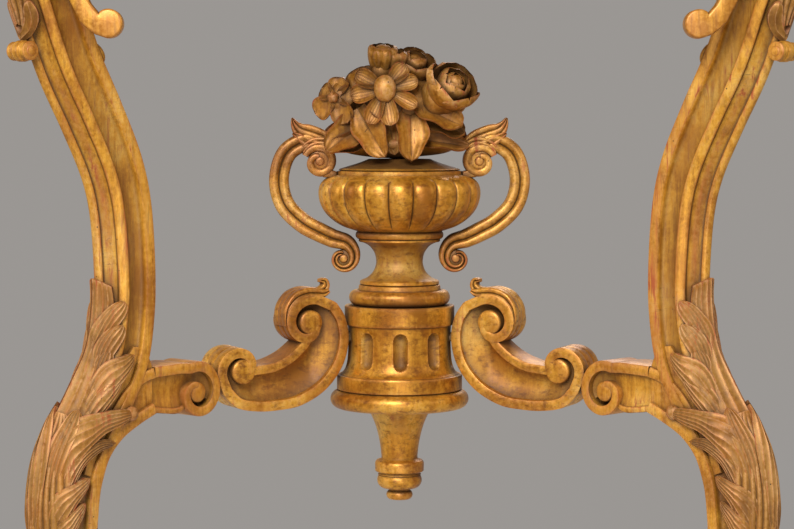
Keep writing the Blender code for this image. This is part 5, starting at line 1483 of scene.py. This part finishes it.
# %% Carried over
INSIDE_WOOD = ("back_rail", "center_bearer", "urn_tie_rod", "glue_block", "dowel")
for node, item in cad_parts.items():
    if item.hide_render:
        continue
    finish = WOOD if any(word in node for word in INSIDE_WOOD) else IRON
    item.data.materials.clear()
    item.data.materials.append(finish)
    print("carried over:", node, "in", finish.name)

# %% [markdown]
# ## Studio
#
# A pale round floor just wide enough to stand the table on, an even grey surround, one large soft light
# above the camera and weaker ones at the sides. The surround is seen and mirrored in its grey but lights
# the scene with less, so the lamps draw the carving.

# %% Floor
FLOOR_RADIUS = 0.76
scene = bpy.context.scene
floor_finish = bpy.data.materials.new("pale floor")
floor_finish.use_nodes = True
shader = floor_finish.node_tree.nodes["Principled BSDF"]
shader.inputs["Base Color"].default_value = (0.62, 0.60, 0.58, 1)
shader.inputs["Roughness"].default_value = 0.85
disc = bpy.data.meshes.new("floor")
rim = np.insert(ring((0, 0), FLOOR_RADIUS, 0, 360, 129)[:-1], 2, -0.5 * MM, axis=1)
disc.from_pydata(rim.tolist(), [], [tuple(range(len(rim)))])
disc.materials.append(floor_finish)
floor = bpy.data.objects.new("floor", disc)
scene.collection.objects.link(floor)
print("floor radius", FLOOR_RADIUS)

# %% Surround
scene.world = bpy.data.worlds.new("studio")
scene.world.use_nodes = True
n = Nodes(scene.world.node_tree)
seen = n.tree.nodes["Background"]
seen.inputs["Color"].default_value = (0.325, 0.308, 0.293, 1)
soft_light = n.put("Background", {"Color": (1.0, 0.98, 0.95, 1), "Strength": 0.22})
rays = n.put("LightPath").outputs
either = n.most(rays["Is Camera Ray"], rays["Is Glossy Ray"])
choice = n.put("MixShader", {0: either, 1: soft_light.outputs[0], 2: seen.outputs[0]})
n.plug(n.tree.nodes["World Output"].inputs["Surface"], choice.outputs[0])
print("surround:", scene.world.name)


# %% Lamps
def lamp(name, place, target, size, power):
    """Square soft light aimed at a point."""
    light = bpy.data.lights.new(name, "AREA")
    light.shape, light.size, light.energy = "SQUARE", size, power
    item = bpy.data.objects.new(name, light)
    item.location = place
    aim = unit(np.array(target) - np.array(place))
    item.rotation_euler = (math.acos(-aim[2]), 0, math.atan2(aim[1], aim[0]) - math.pi / 2)
    scene.collection.objects.link(item)


lamp("key light", (-0.7, -2.8, 2.1), (0, 0, 0.4), 1.3, 106)
lamp("left light", (-2.6, -0.6, 1.2), (0, 0, 0.4), 1.2, 14)
lamp("right light", (2.6, -1.0, 1.4), (0, 0, 0.4), 1.2, 12)
lamp("low light", (0.2, -2.6, 0.15), (0, 0, 0.3), 0.9, 9)
lamp("back light", (0.6, 2.6, 2.2), (0, 0, 0.5), 1.4, 24)

# %% [markdown]
# ## Camera
#
# The camera stands where the photographer stood: far off, with a long lens, a little above the bouquet.
# Its angles could be tried by eye. Here they follow from the picture: the focal length in pixels, the
# row of the horizon and the column of the urn's axis.

# %% Camera
FOCAL, PICTURE_WIDTH, MIDDLE_ROW, HORIZON, AXIS_COLUMN = 2243.0, 794.0, 264.5, 130.0, 399.5
DISTANCE, ASIDE, EYE_LEVEL, SENSOR = 2.4, -0.045, 0.556, 36.0
pitch = math.atan((MIDDLE_ROW - HORIZON) / FOCAL)
yaw = math.atan2(-ASIDE, DISTANCE) - (AXIS_COLUMN - PICTURE_WIDTH / 2) / FOCAL
lens = bpy.data.cameras.new("camera")
lens.sensor_width, lens.lens = SENSOR, SENSOR * FOCAL / PICTURE_WIDTH * math.cos(pitch)
camera = bpy.data.objects.new("camera", lens)
camera.location = (ASIDE, AXIS_Y - DISTANCE, EYE_LEVEL)
camera.rotation_euler = (math.pi / 2 - pitch, 0, -yaw)
scene.collection.objects.link(camera)
scene.camera = camera
scene.view_settings.view_transform = "Standard"
print("lens", round(lens.lens, 1), "mm")

# %% [markdown]
# ## End

# %% End
print("scene built")
